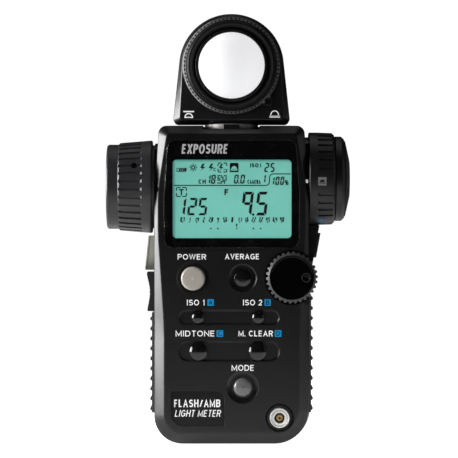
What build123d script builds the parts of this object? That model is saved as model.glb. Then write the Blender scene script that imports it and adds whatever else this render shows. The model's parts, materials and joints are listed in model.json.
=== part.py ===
"""Handheld light meter with a swivelling dome head, a one-degree spot finder across the body,
a liquid-crystal display, push buttons and a setting wheel.

Frame: +Z up, the display faces -Y, +X is the side with the selector dial and the eyepiece.
The origin is the mouth of the tripod socket on the base plane, straight below the axis that the
head swivels on; the two case halves meet on the plane Y = 0. Millimetres.
"""
from build123d import *
import math
import os

os.makedirs("parts", exist_ok=True)

# ---------------------------------------------------------------- driving dimensions
CASE_TOP = 125.6          # top of the case above the base
CASE_W = 30.5             # half width of the case
CASE_W_TOP = 28.7         # half width at the top corners
WALL = 1.9                # case wall
FRONT_WALL = 2.1          # front panel thickness
FRONT_Y = -14.5           # front panel plane
BACK_Y = 13.5             # grip back plane
BULGE_Y = 20.6            # back plane of the finder housing
INNER_BACK_Y = BACK_Y - WALL
INNER_BULGE_Y = BULGE_Y - WALL
BEVEL = 6.0               # reach of the 45 degree front bevel before the case side cuts it
CORNER_L, CORNER_R = 11.0, 13.5   # bottom corner radii, left and right

HEAD_Z = 149.3            # centre of the dome
HEAD_R = 20.75            # radius of the head's round top
HEAD_HALF_W = 23.3        # half width at the bottom corners
HEAD_BOTTOM = 126.45
HEAD_WALL = 1.8
HEAD_FRONT, HEAD_BACK = -9.5, 8.5
DOME_R = 13.0
DOME_TRAVEL = 9.5         # how far the dome retracts over a quarter turn of its ring

NECK_R = 10.65            # flange of the swivel collar
NECK_GAP = 0.3
NECK_SEAT_Z = 124.05
NECK_BOSS = (13.0, 121.6, NECK_SEAT_Z)    # radius, bottom, top
STEM_R = 6.8              # stem of the swivel collar
HEAD_BORE = 6.06          # hole in the head that the collar's waist passes through

# Centres of parts turned about an axis hold the other two coordinates: (y, z) for x, (x, z) for y.
FIND_Y = 3.5
OBJECTIVE = (FIND_Y, 101.7)
EYEPIECE = (FIND_Y, 104.9)
WHEEL, WHEEL_R = (23.7, 65.7), 10.2
SYNC = (18.9, 10.5)
HEAD = (0, HEAD_Z)

EYELET, EYELET_R = (26.0, 6.6), 2.1       # strap hole
SOCKET_R, SOCKET_L = 2.55, 7.2            # quarter-inch tripod thread, wall radius and depth
BUSH_R, BUSH_FLANGE_R = 4.3, 5.3
FILTER_R = 15.0                           # wall radius of the 30.5 mm filter thread
BAY_X, BAY_Z0, BAY_Z1 = 19.4, 24.4, 42.0  # inside of the bay for the cell
BAY_WALL = 1.2
HINGE = (BACK_Y - 1.7, 21.4)              # axis of the battery door, (y, z)
DOOR_TOP = 43.8
LUGS = (-14.0, 14.0)
CELL_R, CELL_L = 8.5, 34.5                # one lithium cell, lying across the grip
CELL = (3.0, 33.2)

# side keys: bottom and top
MEMORY_KEY = (68.6, 82.2)
MEASURE_KEY = (52.2, 67.8)
KEY_HALF_W = 6.0

# name: (x, z, cap radius, cap top y, dish radius)
BUTTONS = {
    "power_button": (-15.2, 65.3, 4.70, -15.7, 6.60),
    "average_button": (4.4, 65.5, 3.35, -15.4, 5.60),
    "iso1_button": (-13.2, 50.0, 2.40, -15.9, None),
    "iso2_button": (10.5, 50.0, 2.40, -15.9, None),
    "midtone_button": (-13.0, 36.6, 3.50, -16.0, None),
    "clear_button": (10.3, 36.6, 3.50, -16.0, None),
    "mode_button": (4.4, 22.5, 3.65, -15.6, 6.40),
}

# case screws: (x, z, seat of the screw head y, back plane of the case y)
SCREWS = [(-24.2, 120.4, 8.0, BULGE_Y), (24.2, 120.4, 8.0, BULGE_Y),
          (-26.0, 20.0, 6.0, BACK_Y), (26.0, 26.0, 6.0, BACK_Y)]

# outlines in (x, z), anticlockwise, with a radius for each corner
CASE_OUTLINE = (
    [(-CASE_W, 0), (CASE_W, 0), (CASE_W, 96), (CASE_W_TOP, CASE_TOP),
     (-CASE_W_TOP, CASE_TOP), (-CASE_W, 96)],
    [CORNER_L, CORNER_R, 150, 3.2, 3.2, 150])
PANEL_OUTLINE = (
    [(-26.5, 4.4), (26.5, 4.4), (26.5, 46), (28.9, 83), (28.9, 100), (25.5, 122.2),
     (-25.5, 122.2), (-28.9, 100), (-28.9, 83), (-26.5, 46)],
    [7.5, 9.5, 150, 110, 60, 1.6, 1.6, 60, 110, 150])
WINDOW_OUTLINE = (
    [(-26.4, 77.3), (26.4, 77.3), (26.7, 98.0), (25.2, 119.6), (-25.2, 119.6), (-26.7, 98.0)],
    [3.6, 3.6, 60, 3.4, 3.4, 60])
# notch at the strap corner
NOTCH_OUTLINE = (
    [(17.6, -1), (33, -1), (33, 11.9), (26.0, 11.9), (22.6, 4.6), (17.6, 3.9)],
    [0, 0, 0, 0.8, 3.5, 0.8])


# ---------------------------------------------------------------- helpers
def rounded_face(points, radii):
    """Closed face in the local XY plane from corner points, each rounded to its radius."""
    count = len(points)
    if not isinstance(radii, (list, tuple)):
        radii = [radii] * count
    corners = []
    for i in range(count):
        before, corner, after = (Vector(*points[k]) for k in (i - 1, i, (i + 1) % count))
        radius = radii[i]
        if radius <= 0:
            corners.append((corner, corner, None))
            continue
        back, ahead = (before - corner).normalized(), (after - corner).normalized()
        angle = math.acos(max(-1, min(1, back.dot(ahead))))
        reach = radius / math.tan(angle / 2)
        bisector = (back + ahead).normalized()
        centre = corner + bisector * (radius / math.sin(angle / 2))
        corners.append((corner + back * reach, corner + ahead * reach, centre - bisector * radius))
    edges = []
    for i in range(count):
        start, end, middle = corners[i]
        if middle is not None:
            edges.append(ThreePointArc(start, middle, end))
        following = corners[(i + 1) % count][0]
        if (following - end).length > 1e-6:
            edges.append(Line(end, following))
    return wire_face(edges)


def wire_face(curves):
    return Face(Wire([edge for curve in curves for edge in curve.edges()]))


def offset_face(outline, distance=0):
    """Face of an outline moved outwards by a distance; its sharp corners stay sharp."""
    points, radii = outline
    count = len(points)
    moved = []
    for i in range(count):
        before, corner, after = (Vector(*points[k]) for k in (i - 1, i, (i + 1) % count))
        side_in, side_out = (corner - before).normalized(), (after - corner).normalized()
        normal_in = Vector(side_in.Y, -side_in.X)
        normal_out = Vector(side_out.Y, -side_out.X)
        shift = distance / (1 + normal_in.dot(normal_out))
        point = corner + (normal_in + normal_out) * shift
        moved.append((point.X, point.Y))
    return rounded_face(moved, [max(0.05, r + distance) if r > 0 else 0 for r in radii])


def rect(x0, x1, z0, z1):
    return [(x0, z0), (x1, z0), (x1, z1), (x0, z1)]


def plane_y(y):
    return Plane(origin=(0, y, 0), x_dir=(1, 0, 0), z_dir=(0, -1, 0))


def prism_y(face, y0, y1):
    """The face is drawn in (x, z)."""
    return Solid.extrude(plane_y(y0).location * face, Vector(0, y1 - y0, 0))


def prism_x(face, x0, x1):
    """The face is drawn in (y, z)."""
    plane = Plane(origin=(x0, 0, 0), x_dir=(0, 1, 0), z_dir=(1, 0, 0))
    return Solid.extrude(plane.location * face, Vector(x1 - x0, 0, 0))


def prism_z(face, z0, z1):
    return Solid.extrude(Plane(origin=(0, 0, z0)).location * face, Vector(0, 0, z1 - z0))


def loft_y(face0, y0, face1, y1):
    wires = [(plane_y(y).location * face).outer_wire() for face, y in ((face0, y0), (face1, y1))]
    return Solid.make_loft(wires, True)


def box(x0, x1, y0, y1, z0, z1):
    centre = Pos((x0 + x1) / 2, (y0 + y1) / 2, (z0 + z1) / 2)
    return centre * Box(x1 - x0, y1 - y0, z1 - z0)


def on_axis(axis, centre):
    """Location that carries a solid turned about local Z onto an axis through the centre."""
    if axis == "x":
        return Plane(origin=(0, *centre), x_dir=(0, 1, 0), z_dir=(1, 0, 0)).location
    if axis == "y":
        return Plane(origin=(centre[0], 0, centre[1]), x_dir=(1, 0, 0), z_dir=(0, 1, 0)).location
    return Plane(origin=(*centre, 0)).location


def local_rod(radius, start, length):
    align = (Align.CENTER, Align.CENTER, Align.MIN)
    return Pos(0, 0, start) * Cylinder(radius, length, align=align)


def rod(axis, radius, start, end, centre=(0, 0)):
    return on_axis(axis, centre) * local_rod(radius, start, end - start)


def tube(axis, radius, bore, start, end, centre=(0, 0)):
    return rod(axis, radius, start, end, centre) - rod(axis, bore, start - 1, end + 1, centre)


def revolved(axis, face, centre=(0, 0)):
    upright = Plane(origin=(0, 0, 0), x_dir=(1, 0, 0), z_dir=(0, -1, 0)).location * face
    return on_axis(axis, centre) * Solid.revolve(upright, 360, Axis.Z)


def lathe(axis, points, radii=0, centre=(0, 0)):
    """Turned solid: points are (radius, position along the axis)."""
    return revolved(axis, rounded_face(points, radii), centre)


def toothed_face(count, outer, inner, duty, slope, phase=0.0, plain=None):
    """Outline with flat-topped teeth; where plain(degrees) is true it stays at the outer radius."""
    points = []
    step = 2 * math.pi / count
    for i in range(count):
        angle = i * step + phase
        if plain and plain(math.degrees(angle) % 360):
            stations = [(k / 4, outer) for k in range(4)]
        else:
            stations = [(0, outer), (duty, outer), (duty + slope, inner), (1 - slope, inner)]
        for part, radius in stations:
            turn = angle + step * part
            points.append(Vector(radius * math.cos(turn), radius * math.sin(turn)))
    return Face(Wire.make_polygon(points, close=True))


def angle_gap(first, second):
    return abs((first - second + 180) % 360 - 180)


def largest(shape):
    """The largest solid of a result that should be one piece."""
    return max(shape.solids(), key=lambda solid: solid.volume)


def fuse(shapes):
    result = shapes[0]
    for shape in shapes[1:]:
        result = result + shape
    return result


def try_fillet(solid, edges, radius):
    """Fillets at the largest of three radii that works, else leaves the edges sharp."""
    edges = list(edges)
    if not edges:
        return solid
    for share in (1.0, 0.7, 0.45):
        # the kernel raises when a radius does not fit the edges; the next one is smaller
        try:
            rounded = solid.fillet(radius * share, edges)
            if rounded.is_valid and rounded.volume > 0:
                return largest(rounded)
        except Exception:
            pass
    return solid


def edges_near_y(solid, *levels):
    """Edges whose centres lie at one of the levels."""
    return [e for e in solid.edges() if any(abs(e.center().Y - y) < 0.01 for y in levels)]


def cross_slot(x, z, half_length, half_width, y0, y1):
    flat = box(x - half_length, x + half_length, y0, y1, z - half_width, z + half_width)
    return flat + box(x - half_width, x + half_width, y0, y1, z - half_length, z + half_length)


def save(name, shapes):
    if not isinstance(shapes, (list, tuple)):
        shapes = [shapes]
    solids = [s for shape in shapes for s in shape.solids() if s.volume > 1e-3]
    piece = solids[0] if len(solids) == 1 else Compound(children=solids)
    piece.label = name
    export_step(piece, f"parts/{name}.step")


# ---------------------------------------------------------------- details both covers share
def add_finder_bosses(cover, y0, y1):
    """Round bosses that close the corner between the case's shoulder and the finder's flanges."""
    cavity = prism_y(offset_face(CASE_OUTLINE, -WALL), -20, 30)
    left = rod("x", 17.3, -30.5, -22, OBJECTIVE) - cavity
    right = rod("x", 16.6, 22, 30.6, EYEPIECE) - cavity
    cover += left & box(-31, -21, y0, y1, 100, 125)
    cover += right & box(21, 31, y0, y1, 100, 125)
    return cover


def cut_side_openings(cover, y0, y1):
    """Openings for the finder mounts, and for the side keys between y0 and y1."""
    gap = 0.3
    cover -= rod("x", 13.15, -34, -26, OBJECTIVE)
    cover -= rod("x", 10.7, 26, 34, EYEPIECE)
    return cover - box(-34, -26, y0, y1, MEASURE_KEY[0] - gap, MEMORY_KEY[1] + gap)


def add_collar_boss(cover, y0, y1):
    """Boss under the top edge that the swivel collar turns in."""
    cover += rod("z", *NECK_BOSS) & box(-14, 14, y0, y1, 121, 125)
    return cover - rod("z", STEM_R + 0.1, 118, 128)


def add_bush_seat(cover, y0, y1):
    """One half of the tripod bush's seat."""
    cover += rod("z", 6.3, 0.5, 9.6) & box(-10, 10, y0, y1, 0.4, 12)
    cover -= rod("z", BUSH_R + 0.05, -1, 8.6)
    return cover - rod("z", BUSH_FLANGE_R + 0.1, -1, 0.8)


# ---------------------------------------------------------------- front cover
RIB_XS = (-22.8, 18.2)    # ribs that hold the circuit board


def case_block(inset, y_front, y_back, panel_inset):
    """Front half of the case: side walls, a 45 degree bevel and a flat panel."""
    panel = offset_face(PANEL_OUTLINE, -panel_inset)
    spread = offset_face(PANEL_OUTLINE, BEVEL - panel_inset)
    side = prism_y(offset_face(CASE_OUTLINE, -inset), y_front, y_back)
    core = loft_y(panel, y_front, spread, y_front + BEVEL)
    if y_back > y_front + BEVEL:
        core = core + prism_y(spread, y_front + BEVEL, y_back)
    return largest(side & core)


def front_shell():
    outer = case_block(0, FRONT_Y, 0, 0)
    panel_edges = [e for e in outer.edges()
                   if abs(e.bounding_box().min.Y - FRONT_Y) < 0.01
                   and abs(e.bounding_box().max.Y - FRONT_Y) < 0.01]
    outer = try_fillet(outer, panel_edges, 1.1)
    bevel_edges = [e for e in outer.edges()
                   if e.bounding_box().max.Y < -5.5 and e.bounding_box().min.Y > FRONT_Y + 1.0
                   and abs(e.center().Y - FRONT_Y) > 1.5 and e.length > 1.0]
    outer = try_fillet(outer, bevel_edges, 0.9)
    return outer - case_block(WALL, FRONT_Y + FRONT_WALL, 1.0, 0.9)


def pill_groove(z, half_width, half_height):
    """Tapered groove that a row of small buttons stands in."""
    x, taper = -1.0, 0.8
    mouth = rect(x - half_width, x + half_width, z - half_height, z + half_height)
    half_width, half_height = half_width - taper, half_height - taper
    floor = rect(x - half_width, x + half_width, z - half_height, z + half_height)
    return loft_y(rounded_face(mouth, half_height + taper - 0.02), FRONT_Y - 0.02,
                  rounded_face(floor, half_height - 0.02), FRONT_Y + 0.75)


def label_recess():
    """Its floor slopes, deep at the top and nearly flush at the bottom."""
    label = rounded_face(rect(-23.9, -2.7, 7.3, 21.1)[:2] + [(-2.7, 21.1), (-23.9, 21.1)],
                         [5.2, 0.4, 4.2, 0.3])
    slope = [(FRONT_Y - 1, 6), (FRONT_Y + 0.22, 6), (FRONT_Y + 1.05, 22.5), (FRONT_Y - 1, 22.5)]
    return prism_y(label, FRONT_Y - 0.5, FRONT_Y + 2) & prism_x(rounded_face(slope, 0), -27, 0)


def cut_front_panel(front):
    # display recess and its through opening
    front -= prism_y(offset_face(WINDOW_OUTLINE, 0.12), FRONT_Y - 1, FRONT_Y + 1.45)
    front -= prism_y(rounded_face(rect(-25, 25, 79.2, 114.3), 0.8), FRONT_Y, -11)
    for z, half_width, half_height in ((50.0, 19.95, 3.1), (36.7, 20.05, 4.1)):
        front -= pill_groove(z, half_width, half_height)
    # dishes round the larger buttons, and every button's hole
    for x, z, radius, _, dish in BUTTONS.values():
        if dish:
            front -= lathe("y", [(0, FRONT_Y - 0.5), (dish + 0.25, FRONT_Y - 0.5), (dish, FRONT_Y),
                                 (radius + 0.75, FRONT_Y + 1.15), (0, FRONT_Y + 1.15)],
                           [0, 0, 0, 0.35, 0], (x, z))
        front -= rod("y", radius + 0.14, FRONT_Y - 1, -11, (x, z))
    # sync socket dish and hole
    front -= lathe("y", [(0, FRONT_Y - 0.5), (6.0, FRONT_Y - 0.5), (5.7, FRONT_Y),
                         (4.9, FRONT_Y + 1.3), (0, FRONT_Y + 1.3)], [0, 0, 0, 0.3, 0], SYNC)
    front -= rod("y", 3.95, FRONT_Y - 1, -11, SYNC)
    return front - label_recess()


def front_cover():
    front = front_shell()
    # wheel well: a floor behind it, then the pocket and the shaft hole
    inside_case = prism_y(offset_face(CASE_OUTLINE), -13, 0)
    front += rod("y", 12.4, -12.6, -9.6, WHEEL) & inside_case
    front -= rod("y", WHEEL_R + 0.55, FRONT_Y - 1, -11.3, WHEEL)
    front -= rod("y", 2.1, -12, -9, WHEEL)
    front = cut_front_panel(front)

    # pocket in the top edge where the swivel collar shows, with the stop block at its front
    front -= box(-NECK_R - 0.5, NECK_R + 0.5, -15, 0.0, NECK_SEAT_Z, 127)
    front -= rod("z", NECK_R + NECK_GAP, NECK_SEAT_Z, 127)
    front += box(-3.15, 3.15, -13.2, -11.0, 122.0, 126.1) & box(-4, 4, -12.6, -10.95, 120, 130)
    front = add_collar_boss(front, -12.4, 0)
    front = largest(add_finder_bosses(front, -5.6, 0))
    front = cut_side_openings(front, -KEY_HALF_W - 0.15, 1)

    for x, z, _, _ in SCREWS:
        front += rod("y", 2.5, -12.6, -0.05, (x, z)) & inside_case
        front -= rod("y", 0.95, -9.5, 1, (x, z))
    for x in RIB_XS:
        front += box(x - 0.6, x + 0.6, -12.5, -8.05, 43.0, 45.0)
    return largest(add_bush_seat(front, -7, -0.02))


# ---------------------------------------------------------------- rear cover
def rear_block():
    """Outside of the rear half, without the shoulder."""
    side = [(0, 0), (9.3, 0), (BACK_Y, 4.2), (BACK_Y, 73.5), (BULGE_Y, 83.0), (BULGE_Y, 114.5),
            (11.0, CASE_TOP), (0, CASE_TOP)]
    low = [(-CASE_W, -1), (CASE_W, -1), (CASE_W, 8.0), (25.6, BACK_Y), (-25.6, BACK_Y),
           (-CASE_W, 8.0)]
    high = rect(-CASE_W, CASE_W, -1, BULGE_Y)
    side = prism_x(rounded_face(side, [0, 2.5, 3.5, 14, 9, 9, 5, 0]), -31, 31)
    low = prism_z(rounded_face(low, [0, 0, 4, 4, 4, 4]), -1, 79)
    high = prism_z(rounded_face(high, [0, 0, 5.0, 5.0]), 79, 127)
    return largest((side & (low + high)) & prism_y(offset_face(CASE_OUTLINE), 0, 30))


def rear_cavity():
    half = CASE_W - WALL
    side = [(-1, WALL), (8.4, WALL), (INNER_BACK_Y, 5.0), (INNER_BACK_Y, 74.2),
            (INNER_BULGE_Y, 83.8), (INNER_BULGE_Y, 113.7), (10.2, CASE_TOP - WALL),
            (-1, CASE_TOP - WALL)]
    low = [(-half, -2), (half, -2), (half, 7.3), (24.9, INNER_BACK_Y), (-24.9, INNER_BACK_Y),
           (-half, 7.3)]
    high = rect(-half, half, -2, INNER_BULGE_Y)
    side = prism_x(rounded_face(side, [0, 2, 2.5, 12, 7.5, 7.5, 4, 0]), -31, 31)
    low = prism_z(rounded_face(low, [0, 0, 3, 3, 3, 3]), 0, 79.6)
    high = prism_z(rounded_face(high, [0, 0, 3.4, 3.4]), 79.4, 127)
    return largest((side & (low + high)) & prism_y(offset_face(CASE_OUTLINE, -WALL), -1, 30))


def dial_shoulder():
    """Shoulder on the right side, below the dial."""
    outline = [(28, 68.8), (32.2, 70.0), (35.4, 88.0), (28, 92.0)]
    shoulder = prism_y(rounded_face(outline, [0, 1.2, 0.4, 0]), 0.0, 13.0)
    back_edges = [e for e in edges_near_y(shoulder, 13.0) if e.center().X > 29]
    shoulder = try_fillet(shoulder, back_edges, 2.5)
    return largest(shoulder - rod("x", 19.1, 30.52, 40, EYEPIECE))


def add_battery_bay(rear):
    """Bay open at the back, with the seats of the door, its hinge and its latch."""
    hinge_z = HINGE[1]
    rear += box(-BAY_X - BAY_WALL, BAY_X + BAY_WALL, -6.75, INNER_BACK_Y + 0.4,
                BAY_Z0 - BAY_WALL, BAY_Z1 + BAY_WALL) \
        - box(-BAY_X, BAY_X, -5.65, BACK_Y + 1, BAY_Z0, BAY_Z1)
    # blocks inside the wall that the door's pins turn in
    for x in LUGS:
        rear += box(x - 4.6, x + 4.6, 9.6, BACK_Y - 1.0, hinge_z - 2.6, BAY_Z0)
    # door opening: through to the cell, with a shallow ledge all round for the plate
    rear -= box(-BAY_X, BAY_X, 9.0, BACK_Y + 1, BAY_Z0, BAY_Z1)
    ledge = rounded_face(rect(-20.55, 20.55, hinge_z + 1.8, DOOR_TOP + 0.15), [0.6, 0.6, 2.1, 2.1])
    rear -= prism_y(ledge, BACK_Y - 1.1, BACK_Y + 2)
    # slot for the latch tongue, then notches for the hinge lugs
    rear -= box(-5.2, 5.2, BACK_Y - 3.4, BACK_Y - 1.0, DOOR_TOP - 2.4, DOOR_TOP + 2.0)
    for x in LUGS:
        rear -= box(x - 2.35, x + 2.35, BACK_Y - 3.6, BACK_Y + 1, hinge_z - 2.0, hinge_z + 5)
        rear -= rod("x", 0.86, x - 3.35, x + 3.35, HINGE)
    return rear


def rear_cover():
    outside = rear_block() + dial_shoulder()
    rear = outside - rear_cavity()
    rear -= rod("z", NECK_R + NECK_GAP, NECK_SEAT_Z, 127)
    rear = add_collar_boss(rear, 0, 14)
    rear = add_finder_bosses(rear, 0, 12.6)
    rear = cut_side_openings(rear, -1, KEY_HALF_W + 0.15)
    rear = add_battery_bay(rear)
    rear = add_bush_seat(rear, 0.02, BACK_Y - 0.5)

    # posts for the case screws: clearance hole and head counterbore from behind
    for x, z, seat, back in SCREWS:
        rear += rod("y", 3.0, 0.05, back - 1.2, (x, z)) & outside
        rear -= rod("y", 1.25, -1, back + 1, (x, z))
        rear -= rod("y", 2.35, seat, back + 2, (x, z))

    # walled notch at the strap corner, with a slot in its wall for the root of the eyelet
    notch_wall = [(15.9, 0.3), (30.2, 0.3), (30.2, 13.8), (24.6, 13.8), (21.2, 6.2), (15.9, 5.7)]
    rear += prism_y(rounded_face(notch_wall, [0, 0, 0, 0, 3, 0]), 1.2, BACK_Y - 1) & outside
    rear -= prism_y(rounded_face(*NOTCH_OUTLINE), 2.6, BACK_Y + 1)
    rear -= box(20.15, 25.0, 3.85, 5.55, 4.0, 10.05)

    # data socket opening in the shoulder
    rear -= box(26.6, 36, 3.2, 10.4, 73.2, 83.4)
    return largest(rear)


# ---------------------------------------------------------------- display stack
def display_window():
    face_y = FRONT_Y - 0.1
    pane = prism_y(rounded_face(*WINDOW_OUTLINE), face_y, FRONT_Y + 1.2)
    return try_fillet(pane, edges_near_y(pane, face_y), 0.25)


def display_mask():
    sheet = prism_y(offset_face(WINDOW_OUTLINE, -0.15), FRONT_Y + 1.22, FRONT_Y + 1.42)
    opening = rect(-23.2, 23.6, 81.2, 112.1)
    return sheet - prism_y(rounded_face(opening, 1.6), FRONT_Y, FRONT_Y + 3)


def lcd_panel():
    return box(-24.6, 24.6, -12.75, -10.95, 79.6, 113.9)


def lcd_backlight():
    return box(-24.4, 24.4, -10.9, -9.75, 79.8, 113.6)


def lcd_frame():
    outline = [(-26.2, 78.2), (26.2, 78.2), (26.2, 100.0), (25.15, 115.6), (-25.15, 115.6),
               (-26.2, 100.0)]
    frame = prism_y(rounded_face(outline, 0.5), -12.3, -8.9)
    frame = frame - box(-24.7, 24.7, -13, -9.7, 79.5, 114.0) - box(-20, 20, -10, -8, 84, 110)
    # slot for the connector strip
    return largest(frame - box(-24.0, 24.0, -9.75, -8, 79.6, 81.6))


def lcd_connectors():
    return box(-23.5, 23.5, -9.7, -8.05, 79.8, 81.3)


# ---------------------------------------------------------------- circuit board, chips, key mat
BOARD_FRONT, BOARD_BACK = -8.0, -7.0
BOARD_OUTLINE = (
    [(-22.5, 4.0), (21.5, 4.0), (27.4, 15), (27.4, 84.0), (-20.8, 84.0), (-20.8, 50.0),
     (-27.4, 50.0), (-27.4, 12)],
    [2, 3, 3, 1, 1, 1, 1, 3])
# x0, x1, back face y, z0, z1
CHIPS = [(-8, 4, -5.7, 68.5, 80.5), (8, 16, -5.9, 68.5, 76.5), (-16, -11, -6.1, 68, 75),
         (18.5, 25, -5.4, 72, 82), (21.3, 26, -5.8, 34, 42), (-26, -21.3, -6.1, 25.0, 28.0),
         (-6, 4, -5.9, 12, 20), (-26, -21.3, -5.6, 42, 48), (-9, 9, -5.9, 48, 60)]


def main_board():
    board = prism_y(rounded_face(*BOARD_OUTLINE), BOARD_FRONT, BOARD_BACK)
    holes = [(0.9, (x, 48.0)) for x in RIB_XS]
    holes += [(2.9, screw[:2]) for screw in SCREWS[2:]]
    holes += [(1.35, SYNC), (1.9, WHEEL)]
    for radius, centre in holes:
        board -= rod("y", radius, BOARD_FRONT - 1, BOARD_BACK + 1, centre)
    return largest(board)


def board_chips():
    """Flat chips and two round cans on the back of the board."""
    seat = BOARD_BACK + 0.02
    chips = [box(x0, x1, seat, back, z0, z1) for x0, x1, back, z0, z1 in CHIPS]
    return chips + [rod("y", 2.2, seat, -3.6, (-23.6, z)) for z in (32.0, 37.5)]


def keypad_mat():
    mat = box(-20.5, 14.5, -8.95, -8.05, 15.5, 71.5) - box(12, 16, -10, -7, 60, 75)
    for x, z, *_ in BUTTONS.values():
        mat += lathe("y", [(0, -9.75), (1.5, -9.75), (2.6, -8.9), (0, -8.9)], 0, (x, z))
    return largest(mat)


# ---------------------------------------------------------------- front buttons
def button(name):
    """Crowned cap with a retaining flange inside the case and a short stem behind it."""
    x, z, radius, top, _ = BUTTONS[name]
    flange, stem = 0.6, 1.3
    # crown: radius and drop where the top turns down, drop to the side, two rounding radii
    if name == "power_button":
        crown_r, crown_drop, side_drop, rounding = radius - 0.5, 0.12, 0.75, (1.0, 0.8)
        flange = 0.7
    elif name == "mode_button":
        crown_r, crown_drop, side_drop, rounding = radius - 0.9, 0.25, 1.15, (1.2, 0.9)
    else:
        drops = {"average_button": 0.75, "iso1_button": 0.95, "iso2_button": 0.95}
        side_drop = drops.get(name, 1.25)
        crown_r, crown_drop, rounding = radius * 0.62, side_drop * 0.22, (radius * 0.9, 0.25)
        stem = 1.2
    points = [(0, top), (crown_r, top + crown_drop), (radius, top + side_drop), (radius, -12.3),
              (radius + flange, -12.3), (radius + flange, -11.6), (stem, -11.6),
              (stem, -10.4), (0, -10.4)]
    return lathe("y", points, [0, *rounding, 0, 0.15, 0.15, 0, 0.1, 0], (x, z))


# ---------------------------------------------------------------- setting wheel
def jog_wheel():
    x, z = WHEEL
    dimple_x = x + 5.6
    wheel = lathe("y", [(0, -17.0), (7.9, -17.0), (8.35, -17.25), (8.8, -17.25),
                        (WHEEL_R, -16.2), (WHEEL_R, -12.1), (9.6, -11.55), (0, -11.55)],
                  [0, 0.1, 0.15, 0.4, 0.5, 0.3, 0, 0], WHEEL)
    teeth = prism_y(toothed_face(30, WHEEL_R, WHEEL_R - 0.85, 0.36, 0.2), -18, -12.6)
    teeth = Pos(x, 0, z) * teeth
    wheel = wheel & (teeth + rod("y", 9.6, -12.61, -11, WHEEL))
    wheel = wheel - rod("y", 1.5, -14.5, -11, WHEEL)
    # finger dimple with a raised lip
    wheel = wheel + tube("y", 1.85, 1.45, -17.2, -16.6, (dimple_x, z))
    return largest(wheel - (Pos(dimple_x, -18.0, z) * Sphere(1.75)))


def jog_shaft():
    x, z = WHEEL
    flat = box(x - 2, x + 2, -6.5, -5, z + 0.9, z + 2)
    return rod("y", 1.48, -14.45, -5.2, WHEEL) - flat


def jog_encoder():
    x, z = WHEEL
    body = box(x - 5.4, x + 3.8, -9.55, -8.05, z - 5, z + 5) + rod("y", 2.6, -9.56, -9.45, WHEEL)
    return largest(body - rod("y", 1.55, -10, -7, WHEEL))


# ---------------------------------------------------------------- sync socket
def sync_socket_shell():
    return lathe("y", [(2.05, -15.15), (2.9, -15.15), (3.05, -14.75), (3.3, -14.75),
                       (3.45, -15.35), (3.86, -15.35), (3.86, -12.6), (3.86, -9.2), (2.05, -9.2)],
                 [0.15, 0.1, 0, 0, 0.12, 0.15, 0, 0.2, 0], SYNC)


def sync_socket_insulator():
    return tube("y", 2.0, 1.28, -12.2, -9.3, SYNC)


def sync_socket_contact():
    return tube("y", 1.23, 0.53, -14.3, -9.6, SYNC) + rod("y", 1.23, -9.6, -7.4, SYNC)


# ---------------------------------------------------------------- left side keys
def add_key_base(pad, z0, z1):
    """Retaining flange and the nub that meets the switch."""
    pad = pad + box(-28.45, -27.6, -6.8, 6.8, z0, z1)
    return pad + rod("x", 1.6, -27.7, -27.05, (0, (z0 + z1) / 2))


def memory_key():
    z0, z1 = MEMORY_KEY
    outline = [(-32.9, z1), (-34.3, z0), (-28.0, z0), (-28.0, z1)]
    key = prism_y(rounded_face(outline, [0.5, 0.5, 0, 0]), -KEY_HALF_W, KEY_HALF_W)
    # grooves along both edges give the pad a raised top
    groove = rounded_face([(-32.35, 82.9), (-33.75, 67.9), (-33.35, 67.9), (-31.95, 82.9)], 0)
    key = key - (prism_y(groove, -7, -5.55) + prism_y(groove, 5.55, 7))
    return largest(add_key_base(key, z0, z1))


def measure_key():
    z0, z1 = MEASURE_KEY
    outline = [(-28.0, z1), (-33.5, z1), (-33.6, 66.9), (-32.1, 60.0), (-33.4, 52.9),
               (-33.2, z0), (-28.0, z0)]
    face = rounded_face(outline, [0, 0.2, 0.5, 12, 0.5, 0.2, 0])
    key = add_key_base(prism_y(face, -KEY_HALF_W, KEY_HALF_W), z0, z1)
    # raised dots in the hollow
    for y in (-3, -1.5, 0, 1.5, 3):
        for z in (58.2, 59.7, 61.2):
            key = key + rod("x", 0.35, -32.6, -31.9, (y, z))
    return largest(key)


def side_switches():
    switches = box(-24.0, -23.0, -6.0, 6.0, 53.0, 82.0)
    for z0, z1 in (MEASURE_KEY, MEMORY_KEY):
        z = (z0 + z1) / 2
        switches = switches + box(-25.6, -24.0, -3, 3, z - 3, z + 3)
        switches = switches + rod("x", 1.2, -26.0, -25.6, (0, z))
    return switches


# ---------------------------------------------------------------- rubber grips
GRIP_THICK, GRIP_GAP = 1.0, 0.06
RIB_PITCH, RIB_R, RIB_L = 3.95, 0.8, 15.0
RIB_OUT = 0.92            # rib axes stand this far outside the case


def grip(sign, z0, z1):
    """A strip of rubber that follows the side of the case, with rounded ribs across it."""
    case = prism_y(offset_face(CASE_OUTLINE, GRIP_GAP), -10, 7)
    strip = prism_y(offset_face(CASE_OUTLINE, GRIP_THICK), -9.2, 6.3) - case
    strip = strip & (box(20, 36, -10, 7, z0, z1) if sign > 0 else box(-36, -20, -10, 7, z0, z1))
    strip = largest(strip)
    corner = CORNER_R if sign > 0 else CORNER_L
    corner_x = sign * (CASE_W - corner)
    z = z0 + 1.6
    while z < z1 - 1.2:
        x = sign * (CASE_W + RIB_OUT)
        if z < corner:
            x = corner_x + sign * math.sqrt((corner + RIB_OUT) ** 2 - (corner - z) ** 2)
        strip = strip + Pos(x, -1.45, z) * Rot(90, 0, 0) * Cylinder(RIB_R, RIB_L)
        z += RIB_PITCH
    return largest(strip - case)


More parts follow.
